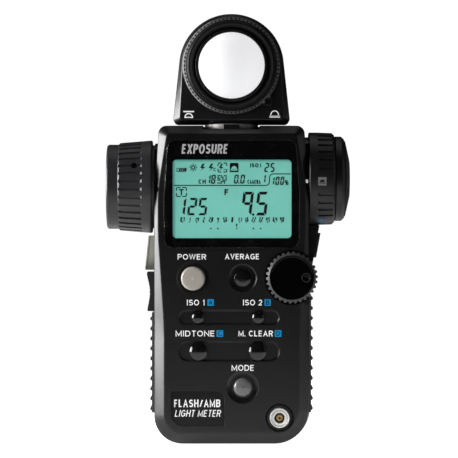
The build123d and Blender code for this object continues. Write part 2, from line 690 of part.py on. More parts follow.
# ---------------------------------------------------------------- battery, contacts, door
PLATE_X = BAY_X - 0.5     # face of each contact plate
CELL_TIP = PLATE_X - 0.03
CELL_END = CELL_TIP - CELL_L
SPRING_WIRE = 0.32        # radius of the spring's wire


def battery():
    shoulder = CELL_TIP - 1.0
    return lathe("x", [(0, CELL_END), (CELL_R, CELL_END), (CELL_R, CELL_TIP - 1.6),
                       (CELL_R - 1.1, shoulder), (3.3, shoulder), (3.3, CELL_TIP), (0, CELL_TIP)],
                 [0, 0.6, 0.5, 0.4, 0, 0.35, 0], CELL)


def battery_contacts():
    """A plate at each end of the bay and a conical spring at the left one."""
    gap = CELL_END + PLATE_X - 2 * SPRING_WIRE - 0.06
    taper = math.degrees(math.atan2(-1.0, gap))
    path = Helix(gap / 2.3, gap, 3.8, cone_angle=taper)
    coil = sweep(Plane(origin=path @ 0, z_dir=path % 0) * Circle(SPRING_WIRE), path=path)
    coil = on_axis("x", CELL) * (Pos(0, 0, -PLATE_X + SPRING_WIRE + 0.03) * coil)
    y, z = CELL
    plates = [box(x, x + 0.48, y - 5, y + 5, z - 5, z + 5) for x in (PLATE_X, -PLATE_X - 0.48)]
    return [*plates, coil]


def battery_door():
    """A plate with hinge lugs at its lower edge, whose moulded pins turn in the case."""
    hinge_y, hinge_z = HINGE
    outline = rect(-20.4, 20.4, hinge_z + 2.4, DOOR_TOP)
    door = prism_y(rounded_face(outline, [0.5, 0.5, 2.0, 2.0]), BACK_Y - 0.95, BACK_Y)
    door = try_fillet(door, edges_near_y(door, BACK_Y), 0.3)
    door = door + box(-BAY_X + 0.4, BAY_X - 0.4, BACK_Y - 1.8, BACK_Y - 0.9,
                      BAY_Z0 + 0.7, BAY_Z1 - 0.7)
    for x in LUGS:
        lug = rod("x", 1.5, x - 2.1, x + 2.1, HINGE)
        lug = lug + box(x - 2.1, x + 2.1, hinge_y - 0.2, BACK_Y - 0.2, hinge_z, hinge_z + 3.4)
        door = door + (lug + rod("x", 0.8, x - 3.2, x + 3.2, HINGE))
    # five finger ribs that narrow upwards
    for k in range(5):
        z = DOOR_TOP - 9.6 + k * 1.5
        door = door + box(-7 + 0.6 * k, 7 - 0.6 * k, BACK_Y - 0.1, BACK_Y + 0.4, z, z + 0.7)
    # pocket for the latch
    return largest(door - box(-4.4, 4.4, BACK_Y - 3, BACK_Y - 0.94, DOOR_TOP - 6.4, DOOR_TOP - 0.5))


def door_latch():
    # depths inside the back plane, then heights from the top of the door
    bars = [(1.7, 1.0, -6.1, -0.7), (2.9, 1.3, -1.5, -0.7), (2.9, 2.1, -1.5, 1.6)]
    return largest(fuse([box(-4.0, 4.0, BACK_Y - deep, BACK_Y - shallow, DOOR_TOP + z0,
                             DOOR_TOP + z1) for deep, shallow, z0, z1 in bars]))


# ---------------------------------------------------------------- data socket and cap
def data_socket():
    shell = box(25.4, 31.3, 4.3, 9.3, 74.5, 82.1) - box(27.6, 34, 5.0, 8.6, 75.2, 81.4)
    return shell + box(27.0, 30.6, 6.3, 7.3, 76.2, 80.4)


def data_cap():
    """The soft cap lies in the opening and stands a little proud of the shoulder."""
    cap = prism_x(rounded_face(rect(3.35, 10.25, 73.35, 83.25), 1.0), 30.0, 38.0)
    slant = [(31.35, 70.0), (33.3, 70.0), (36.15, 86.0), (34.0, 86.0)]
    cap = largest(cap & prism_y(rounded_face(slant, 0), 0, 14))
    return largest(cap + box(31.9, 33.0, 4.6, 9.0, 75.0, 76.4))


# ---------------------------------------------------------------- tripod bush, eyelet, screws
def tripod_bush():
    top = 8.5
    return lathe("z", [(SOCKET_R, 0.0), (BUSH_FLANGE_R, 0.0), (BUSH_FLANGE_R, 0.75),
                       (BUSH_R, 0.75), (BUSH_R, top), (0, top), (0, SOCKET_L),
                       (SOCKET_R, SOCKET_L)], [0, 0.15, 0, 0, 0.4, 0, 0, 0])


def strap_eyelet():
    eyelet = prism_y(offset_face(CASE_OUTLINE, 1.0), 3.5, 5.9)
    eyelet = eyelet & box(17.75, 31.6, 3, 7, 0.0, 11.35)
    eyelet = eyelet & prism_y(offset_face(NOTCH_OUTLINE, -0.12), 3, 7)
    # the root that enters the slot in the notch wall
    eyelet = largest(eyelet) + box(20.2, 24.9, 3.9, 5.5, 4.05, 10.0)
    return largest(eyelet - rod("y", EYELET_R, 0, 10, EYELET))


def case_screws():
    screws = []
    for x, z, seat, _ in SCREWS:
        head = lathe("y", [(0, seat + 0.02), (2.1, seat + 0.02), (2.1, seat + 0.9),
                           (1.4, seat + 1.5), (0, seat + 1.5)], [0, 0, 0.2, 0.3, 0], (x, z))
        screw = rod("y", 0.9, -8.5, seat + 0.2, (x, z)) + head
        screws.append(largest(screw - cross_slot(x, z, 1.1, 0.22, seat + 0.8, seat + 2)))
    return screws


# ---------------------------------------------------------------- spot finder: objective side
BARREL_R = 15.9           # outside of the barrel inside the ring


def objective_mount():
    return lathe("x", [(12.0, -31.4), (16.6, -31.4), (16.6, -30.55), (13.1, -30.55),
                       (13.1, -27.0), (14.4, -27.0), (14.4, -26.2), (12.0, -26.2)], 0, OBJECTIVE)


def grub_location():
    """Origin on the finder axis; local Z points to the front, a little above the axis."""
    rise = math.radians(27)
    return Plane(origin=(-38.4, *OBJECTIVE), x_dir=(1, 0, 0),
                 z_dir=(0, -math.cos(rise), math.sin(rise))).location


def objective_ring():
    bore = BARREL_R + 0.05
    ring = lathe("x", [(bore, -45.0), (16.95, -45.0), (17.5, -44.4), (18.5, -32.0),
                       (18.2, -31.5), (bore, -31.5)], [0, 0.1, 0.2, 0.3, 0.2, 0], OBJECTIVE)
    teeth = prism_x(toothed_face(35, 19.2, 16.6, 0.56, 0.06, math.radians(1.1)), -44.8, -35.1)
    teeth = Pos(0, *OBJECTIVE) * teeth
    # the grooves follow the ring's taper
    skin = lathe("x", [(10, -44.75), (17.6, -44.75), (18.35, -35.15), (10, -35.15)], 0, OBJECTIVE)
    skin = skin - lathe("x", [(5, -46), (16.75, -46), (17.55, -36.1), (18.4, -35.2), (18.4, -34),
                              (5, -34)], 0, OBJECTIVE)
    ring = ring - (largest(skin) - teeth)
    return largest(ring - grub_location() * local_rod(1.3, 14, 6))


def objective_grub_screw():
    location = grub_location()
    align = (Align.CENTER, Align.CENTER, Align.MIN)
    slot = location * (Pos(0, 0, 17.0) * Box(0.4, 2.6, 2.0, align=align))
    return largest(location * local_rod(1.25, 16.0, 1.5) - slot)


def objective_barrel():
    return lathe("x", [(FILTER_R, -49.6), (16.3, -49.6), (16.85, -49.0), (16.85, -45.05),
                       (BARREL_R, -45.05), (BARREL_R, -31.45), (12.6, -31.45), (12.6, -38.5),
                       (13.4, -38.5), (13.4, -44.2), (14.3, -44.2), (14.3, -46.2),
                       (FILTER_R, -46.2)], [0.3, 0.3, 0.5] + [0] * 10, OBJECTIVE)


def objective_lens():
    return lathe("x", [(0, -44.3), (6.8, -43.95), (13.3, -42.6), (13.3, -39.6), (6.8, -38.9),
                       (0, -38.7)], [0, 30, 0, 0, 30, 0], OBJECTIVE)


def objective_lens_ring():
    return lathe("x", [(12.0, -44.15), (13.35, -44.15), (13.35, -42.75), (12.0, -43.0)], 0,
                 OBJECTIVE)


# ---------------------------------------------------------------- finder tube, prism, sensor
def finder_tube():
    """Prism box with a wide tube to the objective and a narrow one to the eyepiece."""
    bore = 10.0
    body = rod("x", 11.4, -26.1, -11.5, OBJECTIVE) + box(-13, 13, -4.6, 11.6, 91.0, 115.0)
    body = body + rod("x", 9.0, 11.5, 42.6, EYEPIECE)
    body = body - rod("x", bore, -40, -11.0, OBJECTIVE)
    body = body - box(-11.6, 11.6, -3.2, 10.2, 92.4, 113.6)
    body = body - rod("x", 7.5, 10, 45, EYEPIECE)
    return largest(body + tube("x", 11.95, bore, -30.9, -26.0, OBJECTIVE))


def finder_prism():
    outline = [(-11.0, 94.2), (-1.0, 94.2), (11.0, 98.4), (11.0, 111.2), (1.0, 111.2),
               (-11.0, 107.6)]
    return prism_y(rounded_face(outline, 0), -3.0, 10.0)


def spot_sensor():
    return box(-5, 5, 0.5, 6.5, 92.6, 93.4) + box(-2.5, 2.5, 2, 5, 93.3, 94.1)


# ---------------------------------------------------------------- selector dial and eyepiece
SLEEVE_BORE = 9.07        # bore of the dial and the diopter ring over the finder tube
DIAL_TEETH = 33
TOOTH_PITCH = 360 / DIAL_TEETH
GROOVE_MIDDLE = 0.78      # middle of a groove as a share of the pitch
INDEX = 184.2             # angle of the index, from +Y towards +Z, seen along the axis


def on_plain_pad(angle):
    """True where the groove that follows the angle would run through a plain pad."""
    groove = angle + GROOVE_MIDDLE * TOOTH_PITCH
    return angle_gap(groove, INDEX) < 9.0 or angle_gap(groove, INDEX + 60.0) < 4.0


def selector_dial():
    dial = lathe("x", [(SLEEVE_BORE, 30.95), (18.3, 30.75), (18.5, 31.0), (18.5, 34.0),
                       (18.3, 40.0), (17.3, 41.0), (14.9, 41.0), (14.9, 34.0), (10.3, 34.0),
                       (10.3, 38.0), (SLEEVE_BORE, 38.0)],
                 [0, 0.2, 0.2, 0, 0.5, 0.4, 0.2, 0.3, 0, 0, 0], EYEPIECE)
    phase = math.radians(INDEX - (GROOVE_MIDDLE + 0.5) * TOOTH_PITCH)
    teeth = toothed_face(DIAL_TEETH, 19.2, 17.7, 0.58, 0.05, phase, on_plain_pad)
    teeth = Pos(0, *EYEPIECE) * prism_x(teeth, 33.9, 40.7)
    band = lathe("x", [(17.9, 34.75), (18.6, 34.05), (19.0, 34.05), (19.0, 40.65), (17.9, 40.65)],
                 0, EYEPIECE)
    dial = dial - (band - teeth)
    return largest(dial + tube("x", 10.35, SLEEVE_BORE, 27.4, 31.2, EYEPIECE))


def diopter_ring():
    return lathe("x", [(SLEEVE_BORE, 38.2), (14.8, 38.2), (14.8, 41.1), (16.6, 41.1),
                       (16.9, 41.4), (16.9, 43.7), (15.8, 44.9), (10.2, 44.9), (10.2, 43.0),
                       (SLEEVE_BORE, 43.0)], [0, 0.3, 0, 0.1, 0.1, 0.2, 0.3, 0, 0, 0], EYEPIECE)


def eyecup():
    return lathe("x", [(7.2, 43.1), (10.1, 43.1), (10.1, 44.95), (15.5, 44.95), (14.9, 45.4),
                       (11.2, 46.25), (7.3, 47.1), (6.3, 46.7), (6.6, 44.6)],
                 [0.2, 0.2, 0, 0.2, 0.5, 20, 0.4, 0.4, 0.6], EYEPIECE)


def eyepiece_lens():
    return lathe("x", [(0, 38.6), (4.0, 38.35), (7.35, 37.6), (7.35, 35.2), (4.0, 34.5),
                       (0, 34.3)], [0, 16, 0, 0, 16, 0], EYEPIECE)


# ---------------------------------------------------------------- swivel head shell
HEAD_SCREWS = [(-17.9, 131.2), (17.9, 131.2)]
GUIDES = [(-9.8, HEAD_Z), (9.8, HEAD_Z)]    # rods that the dome carrier slides on


def head_face(top_radius, bottom, half_width, corner_radius):
    """Round-topped outline: the sides run from the bottom corners, tangent to the round."""
    drop = bottom - HEAD_Z
    angle = math.atan2(drop, half_width) + math.acos(top_radius / math.hypot(half_width, drop))
    tangent = Vector(top_radius * math.cos(angle), HEAD_Z + top_radius * math.sin(angle))
    corner = Vector(half_width, bottom)
    along_base, along_side = Vector(-1, 0), (tangent - corner).normalized()
    opening = math.acos(along_base.dot(along_side))
    reach = corner_radius / math.tan(opening / 2)
    bisector = (along_base + along_side).normalized()
    centre = corner + bisector * (corner_radius / math.sin(opening / 2))
    start, end = corner + along_base * reach, corner + along_side * reach
    middle = centre - bisector * corner_radius

    def mirrored(point):
        return Vector(-point.X, point.Y)

    return wire_face([
        Line(mirrored(start), start), ThreePointArc(start, middle, end), Line(end, tangent),
        ThreePointArc(tangent, Vector(0, HEAD_Z + top_radius), mirrored(tangent)),
        Line(mirrored(tangent), mirrored(end)),
        ThreePointArc(mirrored(end), mirrored(middle), mirrored(start))])


HEAD_FACE = head_face(HEAD_R, HEAD_BOTTOM, HEAD_HALF_W, 2.0)
HEAD_CAVITY_FACE = head_face(HEAD_R - HEAD_WALL, HEAD_BOTTOM + HEAD_WALL, 21.2, 1.0)


def head_front():
    bevel_y = -6.4
    side = prism_y(HEAD_FACE, bevel_y, -0.02)
    panel = head_face(19.45, HEAD_BOTTOM + 1.4, 20.5, 1.4)
    shell = largest(side + loft_y(panel, HEAD_FRONT, HEAD_FACE, bevel_y))
    shell = try_fillet(shell, edges_near_y(shell, HEAD_FRONT, bevel_y), 0.7)
    floor_y = HEAD_FRONT + HEAD_WALL
    floor = head_face(17.9, HEAD_BOTTOM + 3.0, 19.0, 1.0)
    cavity = prism_y(HEAD_CAVITY_FACE, floor_y, 1)
    cavity = cavity & (loft_y(floor, floor_y, HEAD_CAVITY_FACE, -5.6)
                       + prism_y(HEAD_CAVITY_FACE, -5.6, 1))
    shell = shell - cavity
    # openings for the retracting ring and the collar
    shell = shell - rod("y", 16.95, -12, -5, HEAD)
    shell = shell - rod("z", HEAD_BORE, 120, 130)
    for at in HEAD_SCREWS:
        shell = shell + rod("y", 1.9, -8.0, -0.1, at)
        shell = shell - rod("y", 0.8, -6.0, 1, at)
    return largest(shell)


def head_rear():
    bevel_y = 6.3
    side = prism_y(HEAD_FACE, 0.02, bevel_y)
    panel = head_face(18.6, HEAD_BOTTOM + 1.4, 20.9, 1.4)
    shell = largest(side + loft_y(HEAD_FACE, bevel_y, panel, HEAD_BACK))
    shell = try_fillet(shell, edges_near_y(shell, HEAD_BACK, bevel_y), 0.8)
    floor = head_face(17.4, HEAD_BOTTOM + 2.8, 19.6, 1.0)
    cavity = prism_y(HEAD_CAVITY_FACE, -1, 5.0)
    cavity = cavity + loft_y(HEAD_CAVITY_FACE, 5.0, floor, HEAD_BACK - HEAD_WALL)
    shell = shell - cavity
    shell = shell - rod("z", HEAD_BORE, 120, 130)
    for at in HEAD_SCREWS:
        shell = shell + rod("y", 2.4, 0.1, 7.4, at)
        shell = shell - rod("y", 1.05, -1, 12, at)
        shell = shell - rod("y", 1.9, 6.2, 12, at)
    for at in GUIDES:
        shell = shell + rod("y", 1.0, -6.0, 6.8, at)
    return largest(shell)


def head_screws():
    screws = []
    for x, z in HEAD_SCREWS:
        screw = rod("y", 0.78, -5.5, 6.3, (x, z))
        screw = screw + lathe("y", [(0, 6.22), (1.7, 6.22), (1.7, 7.0), (1.2, 7.5), (0, 7.5)],
                              [0, 0, 0.2, 0.2, 0], (x, z))
        screws.append(largest(screw - cross_slot(x, z, 0.9, 0.2, 6.9, 8)))
    return screws


# ---------------------------------------------------------------- swivel collar
def swivel_collar():
    """Flange in the neck gap, hollow stem down into the case, trimmed lip inside the head."""
    collar = lathe("z", [(4.6, 118.6), (STEM_R, 118.6), (STEM_R, 120.15), (5.9, 120.15),
                         (5.9, 121.05), (STEM_R, 121.05), (STEM_R, 124.3), (NECK_R, 124.3),
                         (NECK_R, 126.4), (6.0, 126.4), (6.0, 128.5), (9.4, 128.5),
                         (9.4, 129.4), (4.6, 129.4)],
                   [0, 0.2, 0, 0, 0, 0, 0, 0.25, 0.25, 0, 0, 0, 0.3, 0])
    trim = box(-12, 12, -12, 12, 118, 128) + box(-12, 12, -5.4, 4.8, 127.9, 130)
    return largest(collar & trim)


def swivel_clip():
    return largest(tube("z", 8.7, 6.0, 120.2, 121.0) - box(-2.2, 2.2, -12, 0, 119, 122))


# ---------------------------------------------------------------- dome and retracting ring
PIN_Y = -7.9
PIN_ANGLES = (90, 210, 330)
SLOT_STEPS = 30
TAB_ANGLE, TAB_AT = -44, 19.9    # degrees from +X towards +Z, distance from the dome's axis


def on_head(radius, degrees):
    """Point (x, z) round the dome's axis."""
    angle = math.radians(degrees)
    return radius * math.cos(angle), HEAD_Z + radius * math.sin(angle)


def radial_rod(degrees, y, radius, start, length):
    """Rod pointing away from the dome's axis."""
    angle = math.radians(degrees)
    plane = Plane(origin=(0, y, HEAD_Z), x_dir=(0, 1, 0),
                  z_dir=(math.cos(angle), 0, math.sin(angle)))
    return plane.location * local_rod(radius, start, length)


def retracting_ring():
    """Its three cam slots carry the dome's pins back over a quarter turn."""
    ring = lathe("y", [(14.45, -11.3), (16.5, -12.75), (17.1, -12.75), (17.75, -11.5),
                       (19.0, -11.5), (19.4, -11.1), (19.4, -9.6), (16.8, -9.6), (16.8, -7.55),
                       (17.25, -7.35), (17.25, -6.9), (16.8, -6.5), (16.8, 3.2), (14.45, 3.2)],
                 [0.2, 0.3, 0.3, 0.1, 0.1, 0.1, 0, 0, 0, 0, 0, 0, 0.2, 0], HEAD)
    # a row of small grip pits round the flange, left out beside the tab
    ring = ring - fuse([rod("y", 0.36, -11.7, -10.95, on_head(18.55, degrees))
                        for degrees in range(0, 360, 5) if angle_gap(degrees, TAB_ANGLE) >= 9])
    tab_centre = on_head(TAB_AT, TAB_ANGLE)
    tab = lathe("y", [(0, -11.6), (1.9, -11.6), (2.25, -11.25), (2.25, -9.6), (0, -9.6)],
                [0, 0.2, 0.1, 0, 0], tab_centre)
    ring = ring + (tab - rod("y", 18.3, -15, -5, HEAD))
    ring = ring - lathe("y", [(0, -12.5), (1.2, -12.5), (1.2, -10.9), (0, -10.7)], 0, tab_centre)
    # turning the ring about +Y carries a point to a smaller angle, so the slots run the other way
    slots = [radial_rod(base + 90 * (i / SLOT_STEPS), PIN_Y + DOME_TRAVEL * (i / SLOT_STEPS),
                        1.05, 13, 5.5)
             for base in PIN_ANGLES for i in range(SLOT_STEPS + 1)]
    return largest(ring - fuse(slots))


def dome_carrier():
    carrier = lathe("y", [(13.06, -12.75), (14.15, -12.75), (14.32, -12.5), (14.32, -3.9),
                          (8.0, -3.9), (8.0, -5.1), (12.0, -5.1), (12.0, -10.35),
                          (13.06, -10.35)], [0.15, 0.1, 0.1, 0.2, 0, 0, 0, 0, 0], HEAD)
    for at in GUIDES:
        carrier = carrier - rod("y", 1.1, -8, 0, at)
    for degrees in PIN_ANGLES:
        carrier = carrier + radial_rod(degrees, PIN_Y, 0.85, 13.0, 3.5)
    return largest(carrier)


def lumisphere():
    """Hemispherical shell with a short straight skirt."""
    centre_y, skirt_y, inner = -12.4, -10.4, 11.8

    def on_arc(radius, degrees):
        angle = math.radians(degrees)
        return Vector(radius * math.sin(angle), centre_y - radius * math.cos(angle))

    outer_tip, inner_tip = Vector(0, centre_y - DOME_R), Vector(0, centre_y - inner)
    outer_rim, inner_rim = Vector(DOME_R, centre_y), Vector(inner, centre_y)
    outer_skirt, inner_skirt = Vector(DOME_R, skirt_y), Vector(inner, skirt_y)
    section = wire_face([
        ThreePointArc(outer_tip, on_arc(DOME_R, 45), outer_rim),
        Line(outer_rim, outer_skirt), Line(outer_skirt, inner_skirt), Line(inner_skirt, inner_rim),
        ThreePointArc(inner_rim, on_arc(inner, 45), inner_tip), Line(inner_tip, outer_tip)])
    return revolved("y", section, HEAD)


def incident_sensor():
    return lathe("y", [(0, 0.8), (4.6, 0.8), (4.6, 2.6), (6.2, 2.6), (6.2, 6.65), (0, 6.65)],
                 [0, 0.3, 0, 0.3, 0, 0], HEAD)


# ---------------------------------------------------------------- write every piece
PIECES = [
    front_cover, rear_cover, display_window, display_mask, lcd_panel, lcd_backlight, lcd_frame,
    lcd_connectors, main_board, board_chips, keypad_mat, jog_wheel, jog_shaft, jog_encoder,
    sync_socket_shell, sync_socket_insulator, sync_socket_contact, memory_key, measure_key,
    side_switches, battery, battery_contacts, battery_door, door_latch, data_socket, data_cap,
    tripod_bush, strap_eyelet, case_screws, objective_mount, objective_ring,
    objective_grub_screw, objective_barrel, objective_lens, objective_lens_ring, finder_tube,
    finder_prism, spot_sensor, selector_dial, diopter_ring, eyecup, eyepiece_lens, head_front,
    head_rear, head_screws, swivel_collar, swivel_clip, retracting_ring, dome_carrier,
    lumisphere, incident_sensor,
]
for piece in PIECES:
    save(piece.__name__, piece())
for name in BUTTONS:
    save(name, button(name))
save("grip_right", grip(1, 12.4, 58.9))
save("grip_left", grip(-1, 12.2, 51.7))
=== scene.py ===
"""A hand-held flash and ambient light meter with a swivel head, standing upright.

The face looks towards -Y, +X is to the right as seen from the front and +Z is up. The CAD pieces
are in metres. Sizes of the added prints and marks are in millimetres and are scaled by MM, while
sizes inside materials, lights and the camera are in metres.
"""

import json
import math

import bmesh
import bpy
from mathutils import Matrix, Vector
from mathutils.bvhtree import BVHTree


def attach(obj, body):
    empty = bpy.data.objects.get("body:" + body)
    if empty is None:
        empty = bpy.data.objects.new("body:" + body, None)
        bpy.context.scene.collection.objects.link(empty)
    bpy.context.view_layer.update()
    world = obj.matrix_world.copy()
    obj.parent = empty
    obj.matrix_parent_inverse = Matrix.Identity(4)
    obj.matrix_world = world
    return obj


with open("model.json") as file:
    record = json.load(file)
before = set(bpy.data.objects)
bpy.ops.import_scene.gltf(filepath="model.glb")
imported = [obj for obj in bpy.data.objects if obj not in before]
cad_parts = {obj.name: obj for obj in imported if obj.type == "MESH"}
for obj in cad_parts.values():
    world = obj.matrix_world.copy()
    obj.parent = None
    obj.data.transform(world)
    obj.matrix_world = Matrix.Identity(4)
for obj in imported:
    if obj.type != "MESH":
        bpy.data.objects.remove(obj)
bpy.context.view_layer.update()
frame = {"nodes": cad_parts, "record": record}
NODES = frame["nodes"]
MM = 0.001


# ---------------------------------------------------------------- material builder
class Material:
    """A node material with shared helpers for noise, ramps, bump and edge masks."""

    def __init__(self, name):
        self.data = bpy.data.materials.new(name)
        self.data.use_nodes = True
        self.tree = self.data.node_tree
        self.tree.nodes.clear()
        self.output = self.tree.nodes.new("ShaderNodeOutputMaterial")
        self.coords = self.tree.nodes.new("ShaderNodeTexCoord").outputs["Object"]

    def put(self, socket, value):
        """Links a socket or sets a value; an RGB colour gets its alpha."""
        if isinstance(value, bpy.types.NodeSocket):
            self.tree.links.new(value, socket)
        elif isinstance(value, tuple) and len(value) == 3 and len(socket.default_value) == 4:
            socket.default_value = (*value, 1.0)
        else:
            socket.default_value = value

    def add(self, kind, inputs=None, **props):
        node = self.tree.nodes.new("ShaderNode" + kind)
        for key, value in props.items():
            setattr(node, key, value)
        for key, value in (inputs or {}).items():
            self.put(node.inputs[key], value)
        return node

    def calc(self, operation, a, b=0.0):
        return self.add("Math", {0: a, 1: b}, operation=operation).outputs[0]

    def times(self, a, b):
        return self.calc("MULTIPLY", a, b)

    def plus(self, a, b):
        return self.calc("ADD", a, b)

    def noise(self, scale, detail=2.0, rough=0.5, vector=None, distort=0.0):
        inputs = {"Vector": vector or self.coords, "Scale": scale, "Detail": detail,
                  "Roughness": rough, "Distortion": distort}
        return self.add("TexNoise", inputs).outputs["Fac"]

    def cells(self, scale, feature):
        inputs = {"Vector": self.coords, "Scale": scale}
        return self.add("TexVoronoi", inputs, feature=feature).outputs["Distance"]

    def span(self, value, over=(0.3, 0.7), to=(0.0, 1.0), smooth=False):
        """Maps the range over onto the range to, held at both ends."""
        inputs = {"Value": value, "From Min": over[0], "From Max": over[1],
                  "To Min": to[0], "To Max": to[1]}
        node = self.add("MapRange", inputs, clamp=True)
        if smooth:
            node.interpolation_type = "SMOOTHSTEP"
        return node.outputs[0]

    def drift(self, scale, to=(0.0, 1.0), over=(0.3, 0.7), **noise):
        """Noise stretched to the range to."""
        return self.span(self.noise(scale, **noise), over=over, to=to)

    def inside(self, value, low, high, blur):
        """1 between low and high, fading over blur just above each limit."""
        rise = self.span(value, over=(low, low + blur))
        fall = self.span(value, over=(high, high + blur), to=(1.0, 0.0))
        return self.times(rise, fall)

    def mix(self, factor, a, b):
        node = self.add("Mix", data_type="RGBA", blend_type="MIX")
        # sockets 6, 7 and output 2 are the colour ones
        for index, value in ((0, factor), (6, a), (7, b)):
            self.put(node.inputs[index], value)
        return node.outputs[2]

    def xyz(self):
        return self.add("SeparateXYZ", {0: self.coords}).outputs[:3]

    def radius(self, axis, centre):
        """Distance from a line along axis; centre holds the two other coordinates, in order."""
        sides = [side for side, letter in zip(self.xyz(), "xyz") if letter != axis]
        first, second = [self.calc("SUBTRACT", side, at) for side, at in zip(sides, centre)]
        squares = self.plus(self.times(first, first), self.times(second, second))
        return self.calc("SQRT", squares)

    def bevel(self, radius):
        return self.add("Bevel", {"Radius": radius}, samples=4).outputs[0]

    def normal(self, height, depth=1e-5, strength=1.0, rounding=0.0):
        """Bump from height, over edges rounded by shading if rounding is given."""
        base = self.bevel(rounding) if rounding else None
        bump = self.add("Bump", {"Height": height, "Distance": depth, "Strength": strength})
        if base is not None:
            self.put(bump.inputs["Normal"], base)
        return bump.outputs[0]

    def edge(self, width):
        """About 1 on convex and concave edges, 0 on flats."""
        rounded = self.bevel(width)
        flat = self.add("NewGeometry").outputs["Normal"]
        product = self.add("VectorMath", {0: rounded, 1: flat}, operation="DOT_PRODUCT")
        return self.span(product.outputs["Value"], over=(0.985, 0.80))

    def bsdf(self, **inputs):
        """Principled shader; underscores in the names stand for spaces."""
        named = {key.replace("_", " "): value for key, value in inputs.items()}
        return self.add("BsdfPrincipled", named)

    def surface(self, shader):
        self.tree.links.new(shader.outputs[0], self.output.inputs[0])
        return self.data


def tinted(color, gain):
    return tuple(min(1.0, value * gain) for value in color)


def painted_ring_highlight(mat, color):
    """Painted highlight: a pale ring on the front face around a line along Y, strongest at the
    left where the key light falls and fading towards the right.
    """
    distance = mat.radius("y", centre=(0.0, 0.1493))
    ring = mat.inside(distance, low=0.0179, high=0.0195, blur=0.0003)
    left_light_fade = mat.span(mat.xyz()[0], over=(-0.018, -0.002), to=(1.0, 0.22), smooth=True)
    face = mat.span(mat.xyz()[1], over=(-0.01142, -0.01136), to=(1.0, 0.0))
    return mat.mix(mat.times(mat.times(ring, left_light_fade), face), color, (0.42, 0.42, 0.43))


def moulded(name, base, rough=0.42, vary=0.18, grain=2600.0, depth=7e-6, wear=0.0,
            wear_tint=(0.12, 0.12, 0.125), spec=0.5, coat=0.0, coat_rough=0.1,
            rough_vary=0.07, speck=0.1, shade=None, ring=False):
    """Moulded plastic: cloudy tone, fine grain, uneven gloss, edges rubbed a little lighter.

    shade = (low, high, gain) darkens the piece by gain below the heights low to high.
    """
    mat = Material(name)
    tone = mat.drift(scale=55.0, detail=3.0, rough=0.55)
    color = mat.mix(tone, tinted(base, 1 - vary), tinted(base, 1 + vary))
    fine = mat.noise(scale=grain, detail=2.0, rough=0.6)
    if shade:
        low, high, gain = shade
        below = mat.span(mat.xyz()[2], over=(low, high), to=(1.0, 0.0), smooth=True)
        color = mat.mix(below, color, tinted(base, gain))
    # ring adds a painted highlight ring to the colour, lit from the left
    if ring:
        color = painted_ring_highlight(mat, color)
    flecks = mat.span(fine, over=(0.35, 0.75), to=(0.0, speck))
    color = mat.mix(flecks, color, tinted(base, 2.2))
    if wear:
        patches = dict(scale=420.0, detail=3.0, rough=0.6, over=(0.42, 0.68), to=(0.15, 1.0))
        rub = mat.times(mat.edge(width=0.00022), mat.drift(**patches))
        color = mat.mix(mat.times(rub, wear), color, wear_tint)
    gloss = mat.drift(scale=150.0, detail=4.0, rough=0.6,
                      to=(rough - rough_vary, rough + rough_vary))
    gloss = mat.plus(gloss, mat.span(fine, to=(-0.02, 0.03)))
    return mat.surface(mat.bsdf(
        Base_Color=color, Roughness=gloss, Specular_IOR_Level=spec,
        Normal=mat.normal(fine, depth=depth, rounding=0.00012),
        Coat_Weight=coat, Coat_Roughness=coat_rough))


def rubber(name, base, rough, dust):
    """Rubber: dull, with a fine pebble and a trace of dust in the low spots."""
    mat = Material(name)
    tone = mat.drift(scale=80.0, detail=3.0, rough=0.6)
    color = mat.mix(tone, tinted(base, 0.8), tinted(base, 1.2))
    pebble = mat.cells(scale=2600.0, feature="SMOOTH_F1")
    dusty = mat.times(mat.span(pebble, over=(0.35, 0.75)), dust)
    color = mat.mix(dusty, color, (0.16, 0.155, 0.15))
    gloss = mat.drift(scale=260.0, detail=3.0, rough=0.6, to=(rough - 0.07, rough + 0.08))
    return mat.surface(mat.bsdf(
        Base_Color=color, Roughness=gloss, Specular_IOR_Level=0.45,
        Normal=mat.normal(pebble, depth=1.2e-5, strength=0.7, rounding=0.00015),
        Sheen_Weight=0.06, Sheen_Roughness=0.45))


# noise scale per axis; the small one draws the lines out along that axis
BRUSHED = {"x": (0.02, 1, 1), "y": (1, 0.02, 1), "z": (1, 1, 0.02), "": (1, 1, 1)}


def metal(name, base, rough, brush="x", depth=2.5e-6, tarnish=0.25, solid=1.0):
    """Turned or brushed metal: lines along one axis, patchy gloss, a little tarnish."""
    mat = Material(name)
    stretched = mat.add("Mapping", {"Vector": mat.coords, "Scale": BRUSHED[brush]}).outputs[0]
    lines = mat.noise(scale=2600.0, detail=3.0, rough=0.6, vector=stretched)
    cloud = mat.drift(scale=190.0, detail=4.0, rough=0.6, over=(0.35, 0.7))
    color = mat.mix(mat.span(lines), tinted(base, 0.9), tinted(base, 1.1))
    color = mat.mix(mat.times(cloud, tarnish), color, tinted(base, 0.55))
    gloss = mat.plus(mat.span(cloud, over=(0.0, 1.0), to=(rough - 0.05, rough + 0.1)),
                     mat.span(lines, to=(-0.04, 0.05)))
    return mat.surface(mat.bsdf(
        Base_Color=color, Metallic=solid, Roughness=gloss,
        Normal=mat.normal(lines, depth=depth, strength=0.8, rounding=0.00008)))


